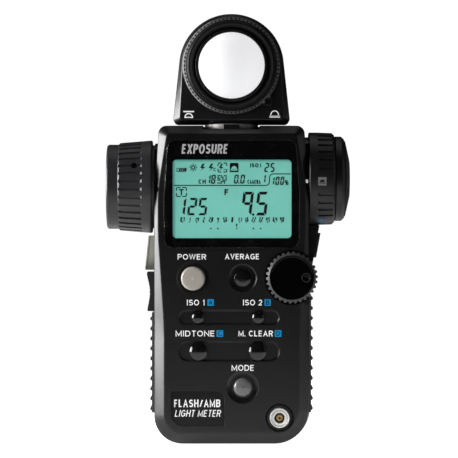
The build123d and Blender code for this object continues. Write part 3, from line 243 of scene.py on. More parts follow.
def ink(name, base, glow=0.0, rough=0.5):
    """Screen-printed ink: slightly uneven coverage and a soft orange-peel surface; glow adds
    painted light, an emission that brightens the ink.
    """
    mat = Material(name)
    cover = mat.drift(scale=900.0, detail=4.0, rough=0.65, over=(0.25, 0.6))
    color = mat.mix(cover, tinted(base, 0.86), base)
    gloss = mat.drift(scale=1600.0, to=(rough - 0.08, rough + 0.08))
    peel = mat.normal(mat.noise(scale=2500.0), depth=5e-6, strength=0.6)
    shader = mat.bsdf(Base_Color=color, Roughness=gloss, Specular_IOR_Level=0.3, Normal=peel)
    # glow is painted light: the ink emits to read brighter than the lamps make it
    if glow:
        mat.put(shader.inputs["Emission Color"], color)
        mat.put(shader.inputs["Emission Strength"], glow)
    return mat.surface(shader)


CASE_SKIN = dict(wear=0.25, depth=5e-6, speck=0.12, rough_vary=0.018)
BUTTON_SKIN = dict(vary=0.05, grain=6000.0, depth=1.5e-6, coat=0.5)
MOULDED = {
    "case_black": dict(CASE_SKIN, base=(0.0036, 0.0037, 0.0043), rough=0.33),
    # head_black is a lighter copy of case_black's plastic: painted light that makes the head read
    # brighter than the case
    "head_black": dict(CASE_SKIN, base=(0.0085, 0.0086, 0.0094), rough=0.31),
    "inner_plastic": dict(base=(0.03, 0.03, 0.032), rough=0.5, wear=0.1),
    "chip_black": dict(base=(0.012, 0.012, 0.013), rough=0.55, grain=5200.0),
    "ring_black": dict(base=(0.0045, 0.0045, 0.005), rough=0.30, wear=0.5,
                       wear_tint=(0.10, 0.10, 0.10), depth=4e-6),
    # ring=True paints a highlight ring on the teeth, lighter at the left
    "ring_teeth": dict(base=(0.0030, 0.0030, 0.0035), rough=0.44, wear=0.4,
                       wear_tint=(0.10, 0.10, 0.10), depth=4e-6, spec=0.28, ring=True),
    "barrel_grey": dict(base=(0.0215, 0.0215, 0.0235), rough=0.38, wear=0.5,
                        wear_tint=(0.16, 0.16, 0.165), depth=5e-6),
    "dial_black": dict(base=(0.0052, 0.0053, 0.006), rough=0.42, wear=0.35,
                       wear_tint=(0.06, 0.06, 0.062), depth=5e-6),
    "button_black": dict(base=(0.0045, 0.0045, 0.005), rough=0.13, grain=5200.0, depth=1e-6,
                         coat=0.2, coat_rough=0.09, rough_vary=0.03, speck=0.03),
    "button_pearl": dict(BUTTON_SKIN, base=(0.40, 0.37, 0.325), rough=0.3, coat_rough=0.12,
                         speck=0.25),
    "button_grey": dict(BUTTON_SKIN, base=(0.135, 0.135, 0.132), rough=0.26, vary=0.07,
                        speck=0.08),
    "key_light": dict(base=(0.36, 0.355, 0.31), rough=0.38, vary=0.06, wear=0.2,
                      wear_tint=(0.5, 0.49, 0.45), speck=0.08, shade=(0.0690, 0.0745, 0.30)),
    "key_dark": dict(base=(0.020, 0.020, 0.022), rough=0.34, wear=0.4, depth=4e-6),
}
RUBBER = {
    "soft_rubber": dict(base=(0.016, 0.016, 0.017), rough=0.5, dust=0.12),
    "grip_rubber": dict(base=(0.055, 0.055, 0.057), rough=0.55, dust=0.2),
    "cup_rubber": dict(base=(0.0038, 0.0038, 0.0042), rough=0.5, dust=0.03),
    "cap_rubber": dict(base=(0.016, 0.016, 0.017), rough=0.6, dust=0.08),
}
METAL = {
    "steel": dict(base=(0.50, 0.50, 0.50), rough=0.3),
    "bright_metal": dict(base=(0.86, 0.85, 0.83), rough=0.3, brush="", tarnish=0.1, depth=4e-7,
                         solid=0.4),
    "collar_metal": dict(base=(0.34, 0.325, 0.31), rough=0.42, brush="z", tarnish=0.3,
                         solid=0.45),
    "brass": dict(base=(0.62, 0.42, 0.18), rough=0.3, brush="", tarnish=0.35),
    "contact_metal": dict(base=(0.70, 0.62, 0.45), rough=0.3, brush="y"),
}
# the glow values paint light into these inks as emission
INK = {
    "print_white": dict(base=(0.74, 0.74, 0.73), glow=0.50),
    "print_silver": dict(base=(0.40, 0.40, 0.40), glow=0.35),
    "print_dim": dict(base=(0.20, 0.20, 0.20)),
    "print_blue": dict(base=(0.002, 0.205, 0.43), glow=0.42),
    "print_blue_dim": dict(base=(0.002, 0.085, 0.20), glow=0.10),
    "print_dark": dict(base=(0.008, 0.010, 0.014), rough=0.4),
    "lcd_ink": dict(base=(0.016, 0.010, 0.014), rough=0.35),
}
MATERIALS = {}
for recipe, looks in ((moulded, MOULDED), (rubber, RUBBER), (metal, METAL), (ink, INK)):
    for name, look in looks.items():
        MATERIALS[name] = recipe(name, **look)


def window_glass():
    """Clear pane: a thin reflective skin with faint smudges, see-through behind."""
    mat = Material("window_glass")
    smudge = mat.drift(scale=45.0, detail=4.0, rough=0.6, distort=0.6, over=(0.45, 0.75))
    rough = mat.plus(mat.times(smudge, 0.05), mat.drift(scale=900.0, to=(0.015, 0.03)))
    fresnel = mat.add("Fresnel", {"IOR": 1.49, "Normal": mat.bevel(radius=0.0002)}).outputs[0]
    glossy = mat.add("BsdfGlossy", {"Color": (0.95, 0.95, 0.95), "Roughness": rough})
    tint = mat.mix(smudge, (0.965, 0.97, 0.965), (0.94, 0.945, 0.94))
    clear = mat.add("BsdfTransparent", {"Color": tint})
    # the rays are not bent inside the pane, so only its outer side may reflect
    outer = mat.calc("SUBTRACT", 1.0, mat.add("NewGeometry").outputs["Backfacing"])
    return mat.surface(mat.add("MixShader", {
        0: mat.times(fresnel, outer), 1: clear.outputs[0], 2: glossy.outputs[0]}))


def display_glass():
    """Green liquid-crystal glass: faint rows, slow tone drift, a painted shadow of the mask at the
    left and top, and a painted glow.
    """
    mat = Material("display_glass")
    x, _, z = mat.xyz()
    color = mat.mix(mat.drift(scale=38.0), (0.153, 0.451, 0.388), (0.165, 0.478, 0.412))
    rows = mat.add("TexWave", {"Vector": mat.coords, "Scale": 1250.0, "Distortion": 0.0},
                   wave_type="BANDS", bands_direction="Z").outputs["Fac"]
    color = mat.mix(mat.times(rows, 0.05), color, (0.097, 0.316, 0.274))
    # painted shadow: the mask's shade along the left and top edges
    left = mat.span(x, over=(-0.0232, -0.0217), to=(0.75, 0.0), smooth=True)
    top = mat.span(z, over=(0.1122, 0.1107), to=(0.62, 0.0), smooth=True)
    color = mat.mix(mat.calc("MAXIMUM", left, top), color, (0.05, 0.16, 0.14))
    # the emission is a painted glow that lifts the glass's brightness
    return mat.surface(mat.bsdf(
        Base_Color=color, Roughness=mat.drift(scale=300.0, to=(0.30, 0.40)),
        Specular_IOR_Level=0.25, Emission_Color=color, Emission_Strength=0.72))


def lens_glass():
    """Coated optical glass: dark and smooth, with a violet-green film that turns with angle."""
    mat = Material("lens_glass")
    facing = mat.add("LayerWeight", {"Blend": 0.35}).outputs["Facing"]
    film = mat.mix(mat.span(facing, over=(0.1, 0.8)), (0.20, 0.05, 0.30), (0.05, 0.30, 0.16))
    film = mat.mix(mat.drift(scale=120.0, to=(0.0, 0.2)), film, (0.3, 0.2, 0.1))
    return mat.surface(mat.bsdf(
        Base_Color=(0.004, 0.004, 0.006),
        Roughness=mat.drift(scale=60.0, detail=3.0, to=(0.02, 0.05)),
        Specular_IOR_Level=0.75, Specular_Tint=mat.mix(0.6, (1, 1, 1), film),
        Coat_Weight=0.7, Coat_Roughness=0.03, Coat_Tint=film))


def dome_white():
    """Translucent opal dome: milky, soft scatter, very fine moulding grain, and a painted glow a
    little brighter towards the right.
    """
    mat = Material("dome_white")
    color = mat.mix(mat.drift(scale=90.0, detail=3.0), (0.29, 0.29, 0.295), (0.31, 0.31, 0.31))
    x = mat.xyz()[0]
    return mat.surface(mat.bsdf(
        Base_Color=color, Roughness=mat.drift(scale=700.0, to=(0.48, 0.58)),
        Specular_IOR_Level=0.35,
        Subsurface_Weight=0.35, Subsurface_Radius=(0.9, 0.9, 0.9), Subsurface_Scale=0.002,
        Normal=mat.normal(mat.noise(scale=3800.0), depth=3e-6, strength=0.5),
        # painted light: the emission makes the dome glow, rising from left to right
        Emission_Color=(1.0, 1.0, 1.02),
        Emission_Strength=mat.span(x, over=(-0.0115, 0.0115), to=(0.64, 0.745), smooth=True)))


def board_green():
    """Circuit board: solder mask over copper tracks and vias."""
    mat = Material("board_green")
    upright = mat.add("Mapping", {"Vector": mat.coords, "Rotation": (math.pi / 2, 0, 0)})
    tracks = mat.add("TexBrick", {
        "Vector": upright.outputs[0], "Scale": 620.0, "Mortar Size": 0.03,
        "Color1": (0.006, 0.075, 0.03), "Color2": (0.008, 0.10, 0.04),
        "Mortar": (0.02, 0.17, 0.07)})
    vias = mat.span(mat.cells(scale=420.0, feature="F1"), over=(0.12, 0.16), to=(1.0, 0.0))
    return mat.surface(mat.bsdf(
        Base_Color=mat.mix(vias, tracks.outputs["Color"], (0.55, 0.42, 0.15)),
        Roughness=mat.drift(scale=300.0, to=(0.28, 0.4)),
        Normal=mat.normal(tracks.outputs["Fac"], depth=1e-5, strength=0.5),
        Coat_Weight=0.3))


def wheel_black():
    """Setting wheel: a polished disc with a satin knurled rim."""
    centre_x, centre_z = 0.0237, 0.0657
    circle_offset = 0.0056    # from the wheel's centre to a small pale circle on its right
    mat = Material("wheel_black")
    rim = mat.span(mat.radius("y", centre=(centre_x, centre_z)), over=(0.0086, 0.0089))
    distance = mat.radius("y", centre=(centre_x + circle_offset, centre_z))
    circle = mat.inside(distance, low=0.0014, high=0.00165, blur=0.00025)
    fine = mat.noise(scale=3000.0, detail=2.0, rough=0.6)
    color = mat.mix(rim, (0.0016, 0.0016, 0.0022), (0.050, 0.048, 0.047))
    color = mat.mix(mat.times(circle, 0.5), color, (0.10, 0.10, 0.10))
    flecks = mat.times(mat.span(fine, over=(0.4, 0.7), to=(0.0, 0.25)), rim)
    color = mat.mix(flecks, color, (0.12, 0.12, 0.12))
    rough = mat.plus(mat.span(rim, over=(0.0, 1.0), to=(0.11, 0.42)),
                     mat.drift(scale=200.0, detail=3.0, to=(-0.02, 0.03)))
    return mat.surface(mat.bsdf(
        Base_Color=color, Roughness=rough,
        Normal=mat.normal(fine, depth=3e-6, strength=0.5, rounding=0.0001),
        Specular_IOR_Level=mat.span(rim, over=(0.0, 1.0), to=(0.12, 0.5))))


def battery_jacket():
    """Foil sleeve on the cell: dark wrap with one pale band across X."""
    mat = Material("battery_jacket")
    stripe = mat.inside(mat.xyz()[0], low=0.0030, high=0.0075, blur=0.0001)
    color = mat.mix(stripe, (0.03, 0.035, 0.05), (0.55, 0.50, 0.30))
    scuffs = mat.drift(scale=500.0, detail=3.0, over=(0.4, 0.7), to=(0.0, 0.15))
    return mat.surface(mat.bsdf(
        Base_Color=mat.mix(scuffs, color, (0.3, 0.3, 0.3)),
        Roughness=mat.drift(scale=150.0, to=(0.22, 0.34)), Coat_Weight=0.5,
        Normal=mat.normal(mat.noise(scale=900.0), depth=5e-6, strength=0.4)))


def sensor():
    """Silicon photocell under a blue-green filter."""
    mat = Material("sensor")
    color = mat.mix(mat.drift(scale=900.0, detail=3.0), (0.02, 0.05, 0.07), (0.03, 0.09, 0.11))
    return mat.surface(mat.bsdf(
        Base_Color=color, Roughness=mat.drift(scale=400.0, to=(0.08, 0.14)), Coat_Weight=0.8,
        Normal=mat.normal(mat.noise(scale=2000.0), depth=2e-6, strength=0.3)))


def light_guide():
    """Frosted light guide with a printed dot pattern."""
    mat = Material("light_guide")
    dots = mat.span(mat.cells(scale=900.0, feature="F1"), over=(0.3, 0.4), to=(1.0, 0.0))
    return mat.surface(mat.bsdf(
        Base_Color=mat.mix(dots, (0.62, 0.66, 0.64), (0.85, 0.88, 0.86)),
        Roughness=mat.drift(scale=300.0, to=(0.25, 0.4)),
        Subsurface_Weight=0.3, Subsurface_Scale=0.001))


def mask_black():
    """Glossy printed border behind the pane."""
    mat = Material("mask_black")
    tone = mat.drift(scale=60.0, detail=3.0)
    return mat.surface(mat.bsdf(
        Base_Color=mat.mix(tone, (0.0025, 0.0025, 0.003), (0.004, 0.004, 0.005)),
        Roughness=mat.drift(scale=250.0, detail=3.0, to=(0.2, 0.3)), Specular_IOR_Level=0.3))


for recipe in (window_glass, display_glass, lens_glass, dome_white, board_green, wheel_black,
               battery_jacket, sensor, light_guide, mask_black):
    MATERIALS[recipe.__name__] = recipe()


# ---------------------------------------------------------------- looks of the CAD pieces
# pieces whose material differs from the slot in the record
OVERRIDE = {
    "display_mask": "mask_black",
    "retracting_ring": "ring_teeth",
    "objective_grub_screw": "mask_black",
    "grip_left": "grip_rubber",
    "grip_right": "grip_rubber",
    "head_front": "head_black",
    "head_rear": "head_black",
    "selector_dial": "dial_black",
    "diopter_ring": "dial_black",
    "eyecup": "cup_rubber",
    "data_cap": "cap_rubber",
    "swivel_collar": "collar_metal",
}
# the record may lack a list of subparts
subparts = frame["record"].get("subparts")
SLOT_OF = {}
if isinstance(subparts, list):
    SLOT_OF = {part["node"]: part["material_slot"] for part in subparts}
for name, piece in NODES.items():
    key = OVERRIDE.get(name) or SLOT_OF.get(name)
    piece.data.materials.clear()
    piece.data.materials.append(MATERIALS.get(key, MATERIALS["inner_plastic"]))
    for polygon in piece.data.polygons:
        polygon.material_index = 0


def smooth_tree():
    """Joins split vertices, then shades smooth except across edges sharper than 28 degrees."""
    tree = bpy.data.node_groups.new("smooth_by_angle", "GeometryNodeTree")
    for way in ("INPUT", "OUTPUT"):
        tree.interface.new_socket("Geometry", in_out=way, socket_type="NodeSocketGeometry")
    new, link = tree.nodes.new, tree.links.new
    group_in, group_out = new("NodeGroupInput"), new("NodeGroupOutput")
    weld = new("GeometryNodeMergeByDistance")
    weld.inputs["Distance"].default_value = 2e-7
    smooth = new("GeometryNodeSetShadeSmooth")
    smooth.inputs["Shade Smooth"].default_value = True
    angle = new("GeometryNodeInputMeshEdgeAngle")
    compare = new("FunctionNodeCompare")
    compare.data_type = "FLOAT"
    compare.operation = "GREATER_THAN"
    compare.inputs[1].default_value = math.radians(28)
    store = new("GeometryNodeStoreNamedAttribute")
    store.data_type = "BOOLEAN"
    store.domain = "EDGE"
    store.inputs["Name"].default_value = "sharp_edge"
    link(group_in.outputs[0], weld.inputs["Geometry"])
    link(weld.outputs["Geometry"], smooth.inputs["Geometry"])
    link(smooth.outputs["Geometry"], store.inputs["Geometry"])
    link(angle.outputs["Unsigned Angle"], compare.inputs[0])
    link(compare.outputs[0], store.inputs["Value"])
    link(store.outputs["Geometry"], group_out.inputs[0])
    return tree


SMOOTH = smooth_tree()
for piece in NODES.values():
    piece.modifiers.new("smooth_by_angle", "NODES").node_group = SMOOTH


# ---------------------------------------------------------------- mesh helpers
def new_object(name, solid, material):
    """Turns a bmesh into an object in the scene."""
    data = bpy.data.meshes.new(name)
    solid.to_mesh(data)
    solid.free()
    made = bpy.data.objects.new(name, data)
    bpy.context.scene.collection.objects.link(made)
    data.materials.append(material)
    return made


def add_piece(name, solid, material, body="case", smooth_angle=None):
    """Adds a piece that rides on body, flat shaded unless smooth_angle (degrees) is given."""
    made = new_object(name, solid, MATERIALS[material])
    if smooth_angle is not None:
        for polygon in made.data.polygons:
            polygon.use_smooth = True
        made.data.set_sharp_from_angle(angle=math.radians(smooth_angle))
    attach(made, body)


def face_outward(solid):
    bmesh.ops.recalc_face_normals(solid, faces=solid.faces)


def clean(solid):
    bmesh.ops.remove_doubles(solid, verts=solid.verts, dist=1e-7)
    bmesh.ops.dissolve_degenerate(solid, edges=solid.edges, dist=1e-8)
    face_outward(solid)


def outline(solid, points, y):
    return [solid.verts.new(Vector((x, y, z)) * MM) for x, z in points]


def slab(solid, points, front, back):
    """Closed thin plate from an outline of (x, z), between y = front and y = back."""
    fore = outline(solid, points, front)
    rear = outline(solid, points, back)
    solid.faces.new(fore)
    solid.faces.new(list(reversed(rear)))
    for i in range(len(points)):
        j = (i + 1) % len(points)
        solid.faces.new((fore[i], rear[i], rear[j], fore[j]))


def strip(solid, outer, inner, front, back, closed=True):
    """Closed thin plate between two outlines with the same number of points."""
    count = len(outer)
    fore_out = outline(solid, outer, front)
    fore_in = outline(solid, inner, front)
    rear_out = outline(solid, outer, back)
    rear_in = outline(solid, inner, back)
    for i in range(count if closed else count - 1):
        j = (i + 1) % count
        solid.faces.new((fore_out[i], fore_out[j], fore_in[j], fore_in[i]))
        solid.faces.new((rear_out[j], rear_out[i], rear_in[i], rear_in[j]))
        solid.faces.new((fore_out[j], fore_out[i], rear_out[i], rear_out[j]))
        solid.faces.new((fore_in[i], fore_in[j], rear_in[j], rear_in[i]))
    if not closed:
        for i in (0, count - 1):
            solid.faces.new((fore_out[i], fore_in[i], rear_in[i], rear_out[i]))


def stroke(solid, points, width, front, back, closed=False):
    """A line of the given width along points."""
    count = len(points)
    left, right = [], []
    for i, (x, z) in enumerate(points):
        before = points[i - 1] if closed or i > 0 else points[i]
        after = points[(i + 1) % count] if closed or i < count - 1 else points[i]
        in_x, in_z = x - before[0], z - before[1]
        out_x, out_z = after[0] - x, after[1] - z
        in_length = math.hypot(in_x, in_z) or 1
        out_length = math.hypot(out_x, out_z) or 1
        dx = in_x / in_length + out_x / out_length
        dz = in_z / in_length + out_z / out_length
        length = math.hypot(dx, dz) or 1
        side_x, side_z = -dz / length * width / 2, dx / length * width / 2
        # widen at corners so that the line keeps its width
        if 0 < i < count - 1 or closed:
            cosine = abs((side_z * in_x - side_x * in_z) / (in_length * width / 2))
            widen = min(2.0, 1 / max(cosine, 0.3))
            side_x, side_z = side_x * widen, side_z * widen
        left.append((x + side_x, z + side_z))
        right.append((x - side_x, z - side_z))
    strip(solid, left, right, front, back, closed)


def box(left, right, bottom, top):
    return [(left, bottom), (right, bottom), (right, top), (left, top)]


def arc(x, z, radius_x, radius_z, start, end, count=9):
    """Points from start to end in degrees; a negative radius_z turns clockwise."""
    angles = [math.radians(start + (end - start) * i / (count - 1)) for i in range(count)]
    return [(x + radius_x * math.cos(a), z + radius_z * math.sin(a)) for a in angles]


def rounded_box(left, right, bottom, top, radius, steps):
    points = []
    for x, z, start in ((right - radius, top - radius, 0), (left + radius, top - radius, 90),
                        (left + radius, bottom + radius, 180),
                        (right - radius, bottom + radius, 270)):
        points += arc(x, z, radius, radius, start, start + 90, steps + 1)
    return points


def lathe(solid, profile, count):
    """Open round skin about Z from (radius, height) pairs, centre first; returns the last ring."""
    rings = [[solid.verts.new((0, 0, profile[0][1]))]]
    turns = [2 * math.pi * i / count for i in range(count)]
    for radius, height in profile[1:]:
        rings.append([solid.verts.new((radius * math.cos(turn), radius * math.sin(turn), height))
                      for turn in turns])
    for inner, outer in zip(rings, rings[1:]):
        for i in range(count):
            j = (i + 1) % count
            if len(inner) == 1:
                solid.faces.new((inner[0], outer[i], outer[j]))
            else:
                solid.faces.new((inner[i], outer[i], outer[j], inner[j]))
    return rings[-1]


# ---------------------------------------------------------------- lettering
# plain grotesque capitals: width relative to the height, then centre lines in a unit box
# (I and . are drawn as upright bars, so they have a width only)
GLYPHS = {
    " ": (0.26, []),
    ".": (0.17, []),
    "/": (0.56, [[(0, -0.03), (1, 1.03)]]),
    "A": (0.80, [[(0, 0), (0.5, 1), (1, 0)], [(0.2, 0.33), (0.8, 0.33)]]),
    "B": (0.70, [[(0, 0), (0, 1)],
                 [(0, 1), (0.6, 1)] + arc(0.62, 0.76, 0.33, 0.24, 80, -80) + [(0, 0.52)],
                 [(0.6, 0.52)] + arc(0.64, 0.26, 0.36, 0.26, 80, -80) + [(0.6, 0), (0, 0)]]),
    "C": (0.76, [arc(0.5, 0.5, 0.5, 0.5, 42, 318, 17)]),
    "D": (0.74, [[(0, 0), (0, 1), (0.45, 1)] + arc(0.47, 0.5, 0.53, 0.5, 80, -80, 11)
                 + [(0.45, 0), (0, 0)]]),
    "E": (0.62, [[(1, 1), (0, 1), (0, 0), (1, 0)], [(0, 0.52), (0.92, 0.52)]]),
    "F": (0.58, [[(1, 1), (0, 1), (0, 0)], [(0, 0.50), (0.88, 0.50)]]),
    "G": (0.80, [arc(0.5, 0.5, 0.5, 0.5, 42, 325, 17)
                 + [(1.0, 0.18), (1.0, 0.45), (0.56, 0.45)]]),
    "H": (0.72, [[(0, 0), (0, 1)], [(1, 0), (1, 1)], [(0, 0.52), (1, 0.52)]]),
    "I": (0.17, []),
    "L": (0.58, [[(0, 1), (0, 0), (1, 0)]]),
    "M": (0.88, [[(0, 0), (0, 1), (0.5, 0.12), (1, 1), (1, 0)]]),
    "N": (0.74, [[(0, 0), (0, 1), (1, 0), (1, 1)]]),
    "O": (0.82, [arc(0.5, 0.5, 0.5, 0.5, 0, 345, 24)]),
    "P": (0.66, [[(0, 0), (0, 1), (0.58, 1)] + arc(0.62, 0.74, 0.38, 0.26, 80, -80)
                 + [(0.58, 0.48), (0, 0.48)]]),
    "R": (0.72, [[(0, 0), (0, 1), (0.55, 1)] + arc(0.6, 0.74, 0.38, 0.26, 80, -80)
                 + [(0.55, 0.48), (0, 0.48)], [(0.55, 0.48), (0.98, 0)]]),
    "S": (0.68, [arc(0.5, 0.755, 0.46, 0.245, 25, 255, 10)
                 + arc(0.5, 0.255, 0.5, 0.255, 78, -155, 10)]),
    "T": (0.66, [[(0, 1), (1, 1)], [(0.5, 1), (0.5, 0)]]),
    "U": (0.72, [[(0, 1), (0, 0.38)] + arc(0.5, 0.36, 0.5, 0.36, 190, 350)
                 + [(1, 0.38), (1, 1)]]),
    "V": (0.78, [[(0, 1), (0.5, 0), (1, 1)]]),
    "W": (1.05, [[(0, 1), (0.25, 0), (0.5, 1), (0.75, 0), (1, 1)]]),
    "X": (0.74, [[(0, 0), (1, 1)], [(0, 1), (1, 0)]]),
    "1": (0.42, [[(0.0, 0.74), (0.62, 1), (0.62, 0)]]),
    "2": (0.64, [arc(0.5, 0.70, 0.46, 0.30, 160, -35, 9) + [(0.0, 0.0), (1.0, 0.0)]]),
    "%": (0.95, [arc(0.2, 0.76, 0.2, 0.24, 0, 345, 12), arc(0.8, 0.24, 0.2, 0.24, 0, 345, 12),
                 [(0.25, 0), (0.75, 1)]]),
}


def letters(solid, text, left, right, bottom, top, weight, front, back, slant=0.0, gap=0.15):
    """Letters fitted to a box, drawn with a pen of weight times the height."""
    height = top - bottom
    pen = weight * height
    natural = sum(GLYPHS[char][0] for char in text) + gap * (len(text) - 1)
    stretch = (right - left - slant * height) / natural
    x = left
    for char in text:
        width, lines = GLYPHS[char]
        width *= stretch
        if char in "I.":
            bar = x + width / 2 - pen / 2
            bar_top = top if char == "I" else bottom + pen
            lean = slant * (bar_top - bottom)
            slab(solid, [(bar, bottom), (bar + pen, bottom), (bar + pen + lean, bar_top),
                         (bar + lean, bar_top)], front, back)
        for line in lines:
            closed = char == "O" or (char == "%" and len(line) == 12)
            points = []
            for i, (across, up) in enumerate(line):
                # tips of open strokes reach the edge of the letter's box
                beside = line[1 if i == 0 else -2]
                at_end = not closed and i in (0, len(line) - 1)
                inset = 0.0 if at_end and up in (0, 1) and beside[1] != up else pen / 2
                z = bottom + inset + up * (height - 2 * inset)
                shear = slant * (z - bottom)
                points.append((x + pen / 2 + across * (width - pen) + shear, z))
            stroke(solid, points, pen, front, back, closed)
        x += width + gap * stretch
    face_outward(solid)


def font_letter(letter, left, right, bottom, top, front, back):
    """A bold letter of the built-in font fitted to a box."""
    curve = bpy.data.curves.new("letter", "FONT")
    curve.body = letter
    curve.offset = 0.015
    curve.extrude = 0.05
    curve.resolution_u = 4
    holder = bpy.data.objects.new("letter", curve)
    bpy.context.scene.collection.objects.link(holder)
    bpy.context.view_layer.update()
    graph = bpy.context.evaluated_depsgraph_get()
    data = bpy.data.meshes.new_from_object(holder.evaluated_get(graph))
    bpy.data.objects.remove(holder)
    bpy.data.curves.remove(curve)
    solid = bmesh.new()
    solid.from_mesh(data)
    bpy.data.meshes.remove(data)
    xs = [vert.co.x for vert in solid.verts]
    ys = [vert.co.y for vert in solid.verts]
    x_min, x_size = min(xs), max(xs) - min(xs)
    y_min, y_size = min(ys), max(ys) - min(ys)
    for vert in solid.verts:
        across = (vert.co.x - x_min) / x_size
        up = (vert.co.y - y_min) / y_size
        y = back if vert.co.z < 0 else front
        vert.co = Vector((left + across * (right - left), y, bottom + up * (top - bottom))) * MM
    clean(solid)
    return solid


# ---------------------------------------------------------------- printed words on the case
CASE_Y = -14.5              # front face of the case
PANE_Y = -14.6              # front face of the pane
WORD_INK = (-0.035, 0.025)  # front and back of printed words, from the face they lie on
MARK_INK = (-0.03, 0.02)    # the same for tags and symbols

# name, text, left, right, bottom, top, pen weight
CASE_WORDS = [
    ("print_power", "POWER", -21.2, -9.95, 72.75, 74.95, 0.158),
    ("print_average", "AVERAGE", -2.6, 10.9, 72.85, 75.05, 0.165),
    ("print_iso1", "ISO 1", -17.6, -10.35, 54.75, 57.0, 0.158),
    ("print_iso2", "ISO 2", 4.5, 12.1, 54.75, 57.0, 0.158),
    ("print_midtone", "MIDTONE", -22.0, -6.6, 42.55, 44.85, 0.158),
    ("print_clear", "M. CLEAR", 2.7, 16.3, 42.55, 44.85, 0.165),
    ("print_mode", "MODE", 0.0, 8.9, 29.05, 31.35, 0.158),
]
# name, letter, left, right, bottom, top
BLUE_TAGS = [
    ("tag_a", "A", -9.5, -6.95, 54.6, 57.2),
    ("tag_b", "B", 12.95, 15.45, 54.6, 57.2),
    ("tag_c", "C", -5.9, -3.3, 42.4, 45.0),
    ("tag_d", "D", 17.0, 19.6, 42.4, 45.0),
]
# name, text, left, right, bottom, top, pen weight, slant
LABEL_LINES = [
    ("label_line_1", "FLASH/AMB", -22.6, -4.4, 14.7, 17.7, 0.17, 0.0),
    ("label_line_2", "LIGHT METER", -22.4, -3.9, 10.95, 13.6, 0.13, 0.2),
]
# floor of the label recess at the lower left: y at a height z, and its slope
LABEL_Y, LABEL_Z, LABEL_SLOPE = -14.28, 6, 0.0503


def case_word(name, *place, y=CASE_Y, material="print_white", **style):
    solid = bmesh.new()
    letters(solid, *place, front=y + WORD_INK[0], back=y + WORD_INK[1], **style)
    add_piece(name, solid, material)


def blue_tag(name, letter, left, right, bottom, top):
    """Blue rounded square with a dark letter."""
    solid = bmesh.new()
    slab(solid, rounded_box(left, right, bottom, top, radius=0.25, steps=4),
         CASE_Y + MARK_INK[0], CASE_Y + MARK_INK[1])
    clean(solid)
    add_piece(name + "_ground", solid, "print_blue")
    margin_x, margin_z = (right - left) * 0.2, (top - bottom) * 0.15
    solid = font_letter(letter, left + margin_x, right - margin_x, bottom + margin_z,
                        top - margin_z, front=CASE_Y - 0.06, back=CASE_Y - 0.01)
    add_piece(name + "_letter", solid, "print_dark")


def label_line(name, *place, slant):
    """A word on the sloping floor of the label recess."""
    solid = bmesh.new()
    letters(solid, *place, front=WORD_INK[0], back=WORD_INK[1], slant=slant)
    for vert in solid.verts:
        vert.co.y += (LABEL_Y + (vert.co.z / MM - LABEL_Z) * LABEL_SLOPE) * MM
    add_piece(name, solid, "print_white")


for row in CASE_WORDS:
    case_word(*row)
case_word("print_glass", "EXPOSURE", -19.7, -1.2, 114.4, 118.2, 0.175, y=PANE_Y,
          material="print_silver", slant=0.10, gap=0.13)
for row in BLUE_TAGS:
    blue_tag(*row)
for *row, slant in LABEL_LINES:
    label_line(*row, slant=slant)

# ---------------------------------------------------------------- the display
LCD = (-12.80, -12.765)     # front and back of the display ink
DIGIT_LEAN = 0.12
# lit segments of each digit: a top, b and c right, d bottom, e and f left, g middle
SEGMENTS = {"0": "abcdef", "1": "bc", "2": "abged", "3": "abgcd", "4": "fgbc",
            "5": "afgcd", "6": "afgedc", "7": "abc", "8": "abcdefg", "9": "abcfg"}


def digit(solid, char, left, right, top, bottom, thick, gap):
    """Seven-segment digit, leaning to the right."""
    mid = (top + bottom) / 2
    half = thick / 2
    tip = gap + 0.25 * thick
    shoulder = gap + 0.75 * thick
    in_left, in_right = left + thick, right - thick
    upper, lower = top - thick - gap, bottom + thick + gap
    shapes = {
        "a": [(left + tip, top), (right - tip, top), (right - shoulder, top - thick),
              (left + shoulder, top - thick)],
        "d": [(left + shoulder, bottom + thick), (right - shoulder, bottom + thick),
              (right - tip, bottom), (left + tip, bottom)],
        "b": [(right, top - gap), (right, mid + gap), (right - half, mid + gap),
              (in_right, mid + half + gap), (in_right, upper)],
        "c": [(in_right, mid - half - gap), (right - half, mid - gap), (right, mid - gap),
              (right, bottom + gap), (in_right, lower)],
        "f": [(left, top - gap), (in_left, upper), (in_left, mid + half + gap),
              (left + half, mid + gap), (left, mid + gap)],
        "e": [(left, mid - gap), (left + half, mid - gap), (in_left, mid - half - gap),
              (in_left, lower), (left, bottom + gap)],
        "g": [(left + half + gap, mid), (in_left + gap, mid + half),
              (in_right - gap, mid + half), (right - half - gap, mid),
              (in_right - gap, mid - half), (in_left + gap, mid - half)],
    }
    for segment in SEGMENTS[char]:
        slab(solid, [(x + (z - bottom) * DIGIT_LEAN, z) for x, z in shapes[segment]], *LCD)


def digits(solid, entries, **style):
    """Digits from (char, left, right) entries."""
    for char, left, right in entries:
        digit(solid, char, left, right, **style)


def dot(solid, x, z, radius, count=20):
    slab(solid, arc(x, z, radius, -radius, 0, 360 - 360 / count, count), *LCD)


def display_piece(name, solid):
    face_outward(solid)
    add_piece(name, solid, "lcd_ink")


def large_figures():
    solid = bmesh.new()
    digits(solid, (("1", -21.951, -18.525), ("2", -17.558, -14.173), ("5", -13.367, -9.981)),
           top=97.054, bottom=90.203, thick=0.8866, gap=0.1209)
    digits(solid, (("9", 3.559, 7.751), ("5", 9.201, 13.634)),
           top=99.472, bottom=90.122, thick=1.1284, gap=0.1612)
    dot(solid, 8.516, 90.485, radius=0.4836)
    display_piece("lcd_figures_large", solid)


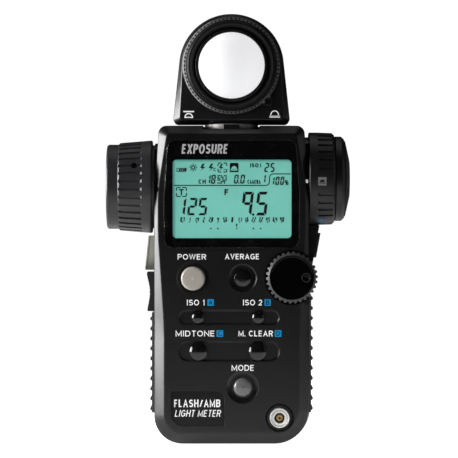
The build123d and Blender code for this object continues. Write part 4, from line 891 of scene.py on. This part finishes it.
def small_figures():
    solid = bmesh.new()
    pen = dict(thick=0.5642, gap=0.0677)
    digits(solid, (("2", 12.828, 14.521), ("5", 15.085, 16.778)),
           top=110.837, bottom=107.210, **pen)
    digits(solid, (("1", -9.659, -8.531), ("8", -8.208, -6.516)),
           top=106.202, bottom=102.615, **pen)
    digits(solid, (("0", 0.819, 2.512),), top=106.202, bottom=102.696, **pen)
    dot(solid, 2.874, 102.898, radius=0.2418)
    digits(solid, (("0", 3.318, 5.010),), top=106.202, bottom=102.696, **pen)
    digits(solid, (("1", 12.103, 13.231),), top=106.323, bottom=102.898, **pen)
    digits(solid, (("1", 15.649, 16.697), ("0", 17.100, 18.632), ("0", 19.035, 20.485)),
           top=105.436, bottom=102.092, **pen)
    letters(solid, "%", 20.888, 22.500, 102.092, 104.066, 0.17, *LCD)
    display_piece("lcd_figures_small", solid)


# text, left, right, bottom, top, pen weight
LCD_WORDS = [
    ("ISO", 7.348, 10.652, 109.063, 110.675, 0.24),
    ("1", 11.055, 11.781, 109.063, 110.675, 0.24),
    ("CH", -13.085, -10.143, 102.615, 104.308, 0.24),
    ("CAMERA", 6.260, 11.458, 102.615, 104.227, 0.21),
    ("F", -2.808, -1.035, 98.182, 100.520, 0.24),
]
# f-number, x of its tick
F_SCALE = [
    ("0.7", -19.412), ("1", -16.591), ("1.4", -13.770), ("2", -10.989), ("2.8", -8.168),
    ("4", -5.428), ("5.6", -2.607), ("8", 0.215), ("11", 3.156), ("16", 5.776), ("22", 8.678),
    ("32", 11.418), ("45", 14.239), ("64", 17.020), ("90", 19.760),
]


def words_and_scale():
    """Words, and the row of f-numbers with a tick under each."""
    top, bottom, tick_tip = 89.478, 87.664, 87.100
    pitch, width = 0.9672, 0.7657    # of the digits in a number
    trim = 0.1612                    # taken off a number's width when it is centred
    solid = bmesh.new()
    for row in LCD_WORDS:
        letters(solid, *row, *LCD)
    for number, x in F_SCALE:
        chars = number.replace(".", "")
        start = x - (len(chars) * pitch - trim) / 2
        for i, char in enumerate(chars):
            left = start + i * pitch
            digit(solid, char, left, left + width, top, bottom, thick=0.4433, gap=0.0202)
        if "." in number:
            dot(solid, start + pitch - 0.0806, bottom, radius=0.1451, count=8)
        slab(solid, [(x - 0.3627, bottom), (x + 0.3627, bottom), (x, tick_tip)], *LCD)
    display_piece("lcd_words", solid)


def bar_box_icon(solid):
    """Framed box with three slanted bars and a slanted end at its right."""
    left, right, bottom, top, wall = -21.668, -18.122, 107.290, 108.822, 0.28
    strip(solid, rounded_box(left, right, bottom, top, radius=0.12, steps=3),
          rounded_box(left + wall, right - wall, bottom + wall, top - wall,
                      radius=0.06, steps=3), *LCD)
    for x in (-20.943, -20.097, -19.250):
        slab(solid, [(x + 0.2015, 108.459), (x + 0.8866, 108.459), (x + 0.6851, 107.653),
                     (x, 107.653)], *LCD)
    slab(solid, [(-18.082, 108.902), (-17.638, 108.902), (-17.800, 107.451),
                 (-18.243, 107.451)], *LCD)


def sun_icon(solid):
    """Ring with eight short rays."""
    centre_x, centre_z, radius = -15.100, 109.023, 0.6448
    ray_start, ray_end, ray_half = 1.0881, 1.5314, 0.2418
    stroke(solid, arc(centre_x, centre_z, radius, -radius, 0, 342, 20), 0.4433, *LCD,
           closed=True)
    for i in range(8):
        cosine, sine = math.cos(math.radians(45 * i)), math.sin(math.radians(45 * i))
        slab(solid, [(centre_x + along * cosine - side * sine,
                      centre_z - along * sine - side * cosine)
                     for along, side in ((ray_start, ray_half), (ray_start, -ray_half),
                                         (ray_end, -ray_half), (ray_end, ray_half))], *LCD)


# wedges of a lightning stroke, as shares of its width and height from its centre
BOLT_UPPER = [(0.42, 0.5), (-0.02, 0.5), (-0.46, -0.09), (0.12, -0.09), (0.02, 0.08)]
BOLT_LOWER = [(-0.12, 0.08), (0.50, 0.08), (-0.34, -0.5), (-0.02, -0.09)]


def bolt(solid, x, z, height, width):
    for wedge in (BOLT_UPPER, BOLT_LOWER):
        slab(solid, [(x + across * width, z + up * height) for across, up in wedge], *LCD)


def corners(solid, left, right, bottom, top, radius, leg_x, leg_z, width=0.403):
    """Four rounded corner brackets with open middles."""
    for side_x, side_z in ((-1, 1), (1, 1), (1, -1), (-1, -1)):
        x = left + radius if side_x < 0 else right - radius
        z = top - radius if side_z > 0 else bottom + radius
        points = [(x - side_x * leg_x, z + side_z * radius)]
        points += [(x + side_x * radius * math.sin(turn), z + side_z * radius * math.cos(turn))
                   for turn in (0.0, 0.39, 0.785, 1.18, 1.571)]
        points.append((x + side_x * radius, z - side_z * leg_z))
        stroke(solid, points, width, *LCD)


def arch_icon(solid):
    """Block with a round arch cut out of it, on a base, with a thin bar under the arch."""
    left, right, bottom, top = -0.712, 2.753, 107.210, 110.837
    centre_x, centre_z, radius = (left + right) / 2, bottom + 1.30, 1.08
    foot, base = 0.62, 0.60
    inner = arc(centre_x, centre_z, radius, radius, 0, 180, 17)
    outer = []
    for x, z in inner:
        # push each point straight out from the centre to the block's edge
        share = max(abs(x - centre_x) / ((right - left) / 2),
                    (z - centre_z) / (top - centre_z))
        outer.append((centre_x + (x - centre_x) / share, centre_z + (z - centre_z) / share))
    strip(solid, outer, inner, *LCD, closed=False)
    slab(solid, box(left, left + 0.42, bottom + foot, centre_z - 0.02), *LCD)
    slab(solid, box(right - 0.42, right, bottom + foot, centre_z - 0.02), *LCD)
    slab(solid, box(left, right, bottom, bottom + base), *LCD)
    slab(solid, box(left + 0.72, right - 0.72, centre_z - 0.26, centre_z - 0.12), *LCD)


def dot_matrix(solid):
    """Six by six block of small rectangles with some left out."""
    for i in range(6):
        for j in range(6):
            if (i + j * 2) % 5 == 3 or (i * j) % 7 == 4:
                continue
            x, z = -5.5484 + i * 0.62868, 106.0409 - j * 0.58032
            slab(solid, box(x, x + 0.5239, z, z - 0.4836), *LCD)


# (x, z) along the rule under the upper rows, stepping up at its right end
RULE = [
    (-22.877, 101.971), (13.473, 101.971), (14.118, 102.092), (14.602, 102.414),
    (14.843, 103.018), (14.924, 103.905), (15.005, 105.195), (15.166, 105.839),
    (15.529, 106.242), (16.133, 106.444), (16.778, 106.484), (23.387, 106.484),
]
# (x, z) outline of the plain T in the lower bracketed box
T_OUTLINE = [
    (-20.701, 100.560), (-18.847, 100.560), (-18.847, 100.036), (-19.492, 100.036),
    (-19.492, 98.102), (-20.056, 98.102), (-20.056, 100.036), (-20.701, 100.036),
]


def icons():
    solid = bmesh.new()
    bar_box_icon(solid)
    sun_icon(solid)
    bolt(solid, -11.392, 109.063, height=2.9822, width=2.1762)
    bolt(solid, -8.047, 109.063, height=2.9822, width=2.1762)
    # small C beside the second bolt
    stroke(solid, arc(-6.556, 108.257, 0.5239, -0.5239, 50, 310, 14), 0.30, *LCD)
    # bolt and two short bars in brackets
    corners(solid, -5.307, -1.881, 107.250, 110.756, radius=0.403, leg_x=0.8866, leg_z=0.806)
    bolt(solid, -4.098, 109.063, height=2.7404, width=1.8538)
    for x in (-3.130, -2.687):
        slab(solid, box(x, x + 0.2418, 108.499, 107.935), *LCD)
    arch_icon(solid)
    dot_matrix(solid)
    stroke(solid, RULE, 0.3829, *LCD)
    corners(solid, -21.668, -17.800, 97.618, 101.165, radius=0.4836, leg_x=1.1284,
            leg_z=0.8866)
    slab(solid, T_OUTLINE, *LCD)
    # pointers under the scale
    for x in (-8.168, -5.428, 8.597, 11.418):
        slab(solid, [(x, 85.448), (x + 0.4433, 84.722), (x - 0.4433, 84.722)], *LCD)
    slab(solid, [(1.746, 86.898), (2.310, 86.898), (2.230, 85.770), (1.827, 85.770)], *LCD)
    slab(solid, [(2.028, 85.488), (2.431, 84.803), (1.625, 84.803)], *LCD)
    display_piece("lcd_icons", solid)


large_figures()
small_figures()
words_and_scale()
icons()

# ---------------------------------------------------------------- marks on the swivel head
HEAD_Y = -9.5
HEAD_MARK = (HEAD_Y + MARK_INK[0], HEAD_Y + MARK_INK[1])
HEAD_BASE = (HEAD_Y - 0.035, HEAD_Y + 0.02)    # the line at the foot of each arch


def mark_dome_in():
    """Low arch between two lines, on the left."""
    solid = bmesh.new()
    slab(solid, box(-19.05, -14.8, 130.93, 131.45), *HEAD_MARK)
    strip(solid, arc(-16.93, 129.0, 1.72, 1.62, 0, 180, 21),
          arc(-16.93, 129.25, 1.18, 0.92, 0, 180, 21), *HEAD_MARK, closed=False)
    slab(solid, box(-18.65, -15.2, 128.68, 129.14), *HEAD_BASE)
    add_piece("mark_dome_in", solid, "print_white", body="head")


def mark_dome_out():
    """Arch over two lines, on the right."""
    left, right = 14.95, 19.15
    centre_x, centre_z = (left + right) / 2, 129.78
    solid = bmesh.new()
    strip(solid, arc(centre_x, centre_z, 1.75, 1.92, 0, 180, 21),
          arc(centre_x, centre_z, 1.32, 1.5, 0, 180, 21), *HEAD_MARK, closed=False)
    slab(solid, box(left, right, 129.28, 129.55), *HEAD_BASE)
    slab(solid, box(left, right, 128.8, 129.07), *HEAD_MARK)
    add_piece("mark_dome_out", solid, "print_white", body="head")


mark_dome_in()
mark_dome_out()


# ---------------------------------------------------------------- index dots
def cover_tree():
    solid = bmesh.new()
    solid.from_mesh(NODES["front_cover"].data)
    tree = BVHTree.FromBMesh(solid)
    solid.free()
    return tree


COVER = cover_tree()


def index_dot(name, x, z, radius, material, proud, bowl=0.0):
    """A small painted dot on the front cover: a low crown, or dished by bowl."""
    sink = 0.05
    hit, normal = COVER.ray_cast(Vector((x, -60.0, z)) * MM, Vector((0, 1, 0)))[:2]
    profile = [(0.0, proud - bowl), (radius * 0.45, proud - bowl * 0.8),
               (radius * 0.8, proud - bowl * 0.3), (radius * 0.95, proud * 0.7),
               (radius, -sink * 0.2), (radius, -sink)]
    solid = bmesh.new()
    rim = lathe(solid, profile, count=28)
    solid.faces.new(list(reversed(rim)))
    turn = normal.to_track_quat("Z", "Y").to_matrix().to_4x4()
    place = Matrix.Translation(hit / MM) @ turn
    for vert in solid.verts:
        vert.co = (place @ vert.co) * MM
    face_outward(solid)
    add_piece(name, solid, material, smooth_angle=35)


index_dot("index_dot_right", 29.7, 103.6, radius=0.77, material="print_white", proud=0.05)
index_dot("index_dot_left", -29.3, 100.4, radius=1.05, material="button_black", proud=0.06,
          bowl=0.05)

# ---------------------------------------------------------------- tags on the selector dial
DIAL_Y, DIAL_Z = 3.5, 104.9           # the dial's axis, along X
DEG_PER_MM = 180 / math.pi / 18.45    # along the rim of the dial
TAG_X = 35.7                          # middle of the tags
TAG_HALF = 1.65
GROUND_RADII = (18.30, 18.53)
MARK_RADII = (18.5, 18.56)
DOME_TAG_ANGLE = 184.2                # degrees from +Y towards +Z
SPOT_TAG_ANGLE = DOME_TAG_ANGLE + 60.0


def dial_tile(solid, half_x, low, high, angle, radii, steps_x, steps_round):
    """Closed curved tile about TAG_X, from low to high mm round the dial from angle."""
    dial_strip(solid, TAG_X - half_x, TAG_X + half_x, low, high, angle, radii, steps_x,
               steps_round)


def dial_strip(solid, x0, x1, low, high, angle, radii, steps_x, steps_round):
    """Closed curved tile from x0 to x1, from low to high mm round the dial from angle."""
    start, end = angle + low * DEG_PER_MM, angle + high * DEG_PER_MM

    def skin(radius):
        rows = []
        for i in range(steps_x + 1):
            x = x0 + (x1 - x0) * i / steps_x
            turns = [math.radians(start + (end - start) * j / steps_round)
                     for j in range(steps_round + 1)]
            rows.append([solid.verts.new(Vector((x, DIAL_Y + radius * math.cos(turn),
                                                 DIAL_Z + radius * math.sin(turn))) * MM)
                         for turn in turns])
        return rows

    top, under = skin(radii[1]), skin(radii[0])
    new = solid.faces.new
    for i in range(steps_x):
        for j in range(steps_round):
            new((top[i][j], top[i + 1][j], top[i + 1][j + 1], top[i][j + 1]))
            new((under[i][j], under[i][j + 1], under[i + 1][j + 1], under[i + 1][j]))
    for i in range(steps_x):
        new((top[i][0], under[i][0], under[i + 1][0], top[i + 1][0]))
        new((top[i][-1], top[i + 1][-1], under[i + 1][-1], under[i][-1]))
    for j in range(steps_round):
        new((top[0][j], top[0][j + 1], under[0][j + 1], under[0][j]))
        new((top[-1][j], under[-1][j], under[-1][j + 1], top[-1][j + 1]))


def dome_mark(solid, angle):
    """Half disc built of narrow strips over a base line."""
    count, foot = 14, 0.28
    for i in range(count):
        left, right = -1 + 2 * i / count, -1 + 2 * (i + 1) / count
        height = 0.95 * math.sqrt(max(0.02, 1 - ((left + right) / 2) ** 2))
        dial_strip(solid, TAG_X + 0.98 * left, TAG_X + 0.98 * right, foot, foot - height,
                   angle, MARK_RADII, steps_x=1, steps_round=4)
    dial_tile(solid, 1.25, 0.55, 0.85, angle, MARK_RADII, steps_x=2, steps_round=2)


def spot_mark(solid, angle):
    """Ring of short tiles around a small square."""
    count, radius, half_line = 20, 0.95, 0.16
    for i in range(count):
        turn0, turn1 = 2 * math.pi * i / count, 2 * math.pi * (i + 1) / count
        x0, x1 = sorted((TAG_X + radius * math.cos(turn0), TAG_X + radius * math.cos(turn1)))
        sine = math.sin((turn0 + turn1) / 2)
        side = 1 if sine >= 0 else -1
        out = radius * abs(sine)
        dial_strip(solid, x0, max(x1, x0 + 0.03), side * (out - half_line),
                   side * (out + half_line), angle, MARK_RADII, steps_x=1, steps_round=1)
    dial_tile(solid, 0.25, -0.25, 0.25, angle, MARK_RADII, steps_x=1, steps_round=3)


def dial_tag(name, angle, draw_mark, ground, mark):
    solid = bmesh.new()
    dial_tile(solid, TAG_HALF, -TAG_HALF, TAG_HALF, angle, GROUND_RADII, steps_x=2,
              steps_round=10)
    face_outward(solid)
    add_piece(name + "_ground", solid, ground, body="selector_dial")
    solid = bmesh.new()
    draw_mark(solid, angle)
    face_outward(solid)
    add_piece(name + "_mark", solid, mark, body="selector_dial")


dial_tag("dial_tag_dome", DOME_TAG_ANGLE, dome_mark, "print_dim", "print_dark")
dial_tag("dial_tag_spot", SPOT_TAG_ANGLE, spot_mark, "print_blue_dim", "print_dim")

# ---------------------------------------------------------------- floor
FLOOR_Z = -0.0002
FLOOR_RADII = (0.0, 0.05, 0.1, 0.2, 0.4, 0.8, 1.6, 3.2, 6.0)


def floor_material():
    mat = Material("studio_floor")
    tone = mat.drift(scale=3.0, detail=3.0)
    color = mat.mix(tone, (0.80, 0.80, 0.80), (0.83, 0.83, 0.83))
    diffuse = mat.add("BsdfDiffuse", {"Color": color, "Roughness": 0.5})
    camera_ray = mat.add("LightPath").outputs["Is Camera Ray"]
    strength = mat.span(camera_ray, over=(0.0, 1.0), to=(0.50, 1.0))
    glow = mat.add("Emission", {"Color": (1, 1, 1), "Strength": strength})
    lit = mat.add("AddShader", {0: diffuse.outputs[0], 1: glow.outputs[0]})
    # the camera sees an endless floor; reflections see a table that ends half a metre out
    distance = mat.radius("z", centre=(0.0, 0.0))
    near = mat.span(distance, over=(0.06, 0.50), to=(1.0, 0.0), smooth=True)
    dark = mat.add("BsdfDiffuse", {"Color": (0.02, 0.02, 0.02)})
    keep = mat.calc("MAXIMUM", camera_ray, near)
    return mat.surface(mat.add("MixShader", {0: keep, 1: dark.outputs[0], 2: lit.outputs[0]}))


floor_solid = bmesh.new()
lathe(floor_solid, [(radius, FLOOR_Z) for radius in FLOOR_RADII], count=96)
new_object("studio_floor", floor_solid, floor_material())


# ---------------------------------------------------------------- light, world and camera
def area(name, place, target, width, height, radiance, glossy=True):
    """Rectangular light aimed at target; glossy tells whether it shows in reflections."""
    light = bpy.data.lights.new(name, "AREA")
    light.shape = "RECTANGLE"
    light.size, light.size_y = width, height
    light.energy = radiance * math.pi * width * height
    lamp = bpy.data.objects.new(name, light)
    bpy.context.scene.collection.objects.link(lamp)
    lamp.location = place
    aim = Vector(target) - Vector(place)
    lamp.rotation_euler = aim.to_track_quat("-Z", "Y").to_euler()
    lamp.visible_camera = False
    lamp.visible_glossy = glossy


# large soft box at the left, a weak strip at the right, a broad fill without reflections
area("key_left", place=(-0.62, -0.035, 0.085), target=(0.0, -0.02, 0.08),
     width=0.44, height=0.62, radiance=18.5)
area("rim_right", place=(0.60, -0.06, 0.16), target=(0.0, 0.0, 0.09),
     width=0.30, height=0.50, radiance=0.40)
area("fill_front", place=(-0.45, -1.10, 0.75), target=(0.0, 0.0, 0.09),
     width=1.0, height=0.8, radiance=1.35, glossy=False)
area("fill_top", place=(0.1, 0.15, 0.95), target=(0.0, 0.0, 0.10),
     width=0.7, height=0.6, radiance=0.5)


def studio_world():
    """Nearly dark surroundings that the camera sees as white."""
    world = bpy.data.worlds.new("studio")
    bpy.context.scene.world = world
    world.use_nodes = True
    nodes, link = world.node_tree.nodes, world.node_tree.links.new
    nodes.clear()
    output = nodes.new("ShaderNodeOutputWorld")
    rays = nodes.new("ShaderNodeLightPath")
    dark = nodes.new("ShaderNodeBackground")
    dark.inputs["Color"].default_value = (0.014, 0.0145, 0.016, 1)
    white = nodes.new("ShaderNodeBackground")
    white.inputs["Color"].default_value = (1.0, 1.0, 1.0, 1)
    white.inputs["Strength"].default_value = 1.05
    mixed = nodes.new("ShaderNodeMixShader")
    link(rays.outputs["Is Camera Ray"], mixed.inputs[0])
    link(dark.outputs[0], mixed.inputs[1])
    link(white.outputs[0], mixed.inputs[2])
    link(mixed.outputs[0], output.inputs[0])


studio_world()

scene = bpy.context.scene
scene.view_settings.view_transform = "Standard"
scene.view_settings.look = "None"
scene.view_settings.exposure = 0.0
scene.view_settings.gamma = 1.0

lens = bpy.data.cameras.new("camera")
lens.sensor_width = 36.0
lens.lens = 199.0
lens.clip_start, lens.clip_end = 0.05, 20.0
camera = bpy.data.objects.new("camera", lens)
scene.collection.objects.link(camera)
camera.location = (-0.0010, -1.01, 0.0848)
camera.rotation_euler = (math.pi / 2, 0, 0)    # level, looking along +Y
scene.camera = camera

bpy.context.view_layer.update()
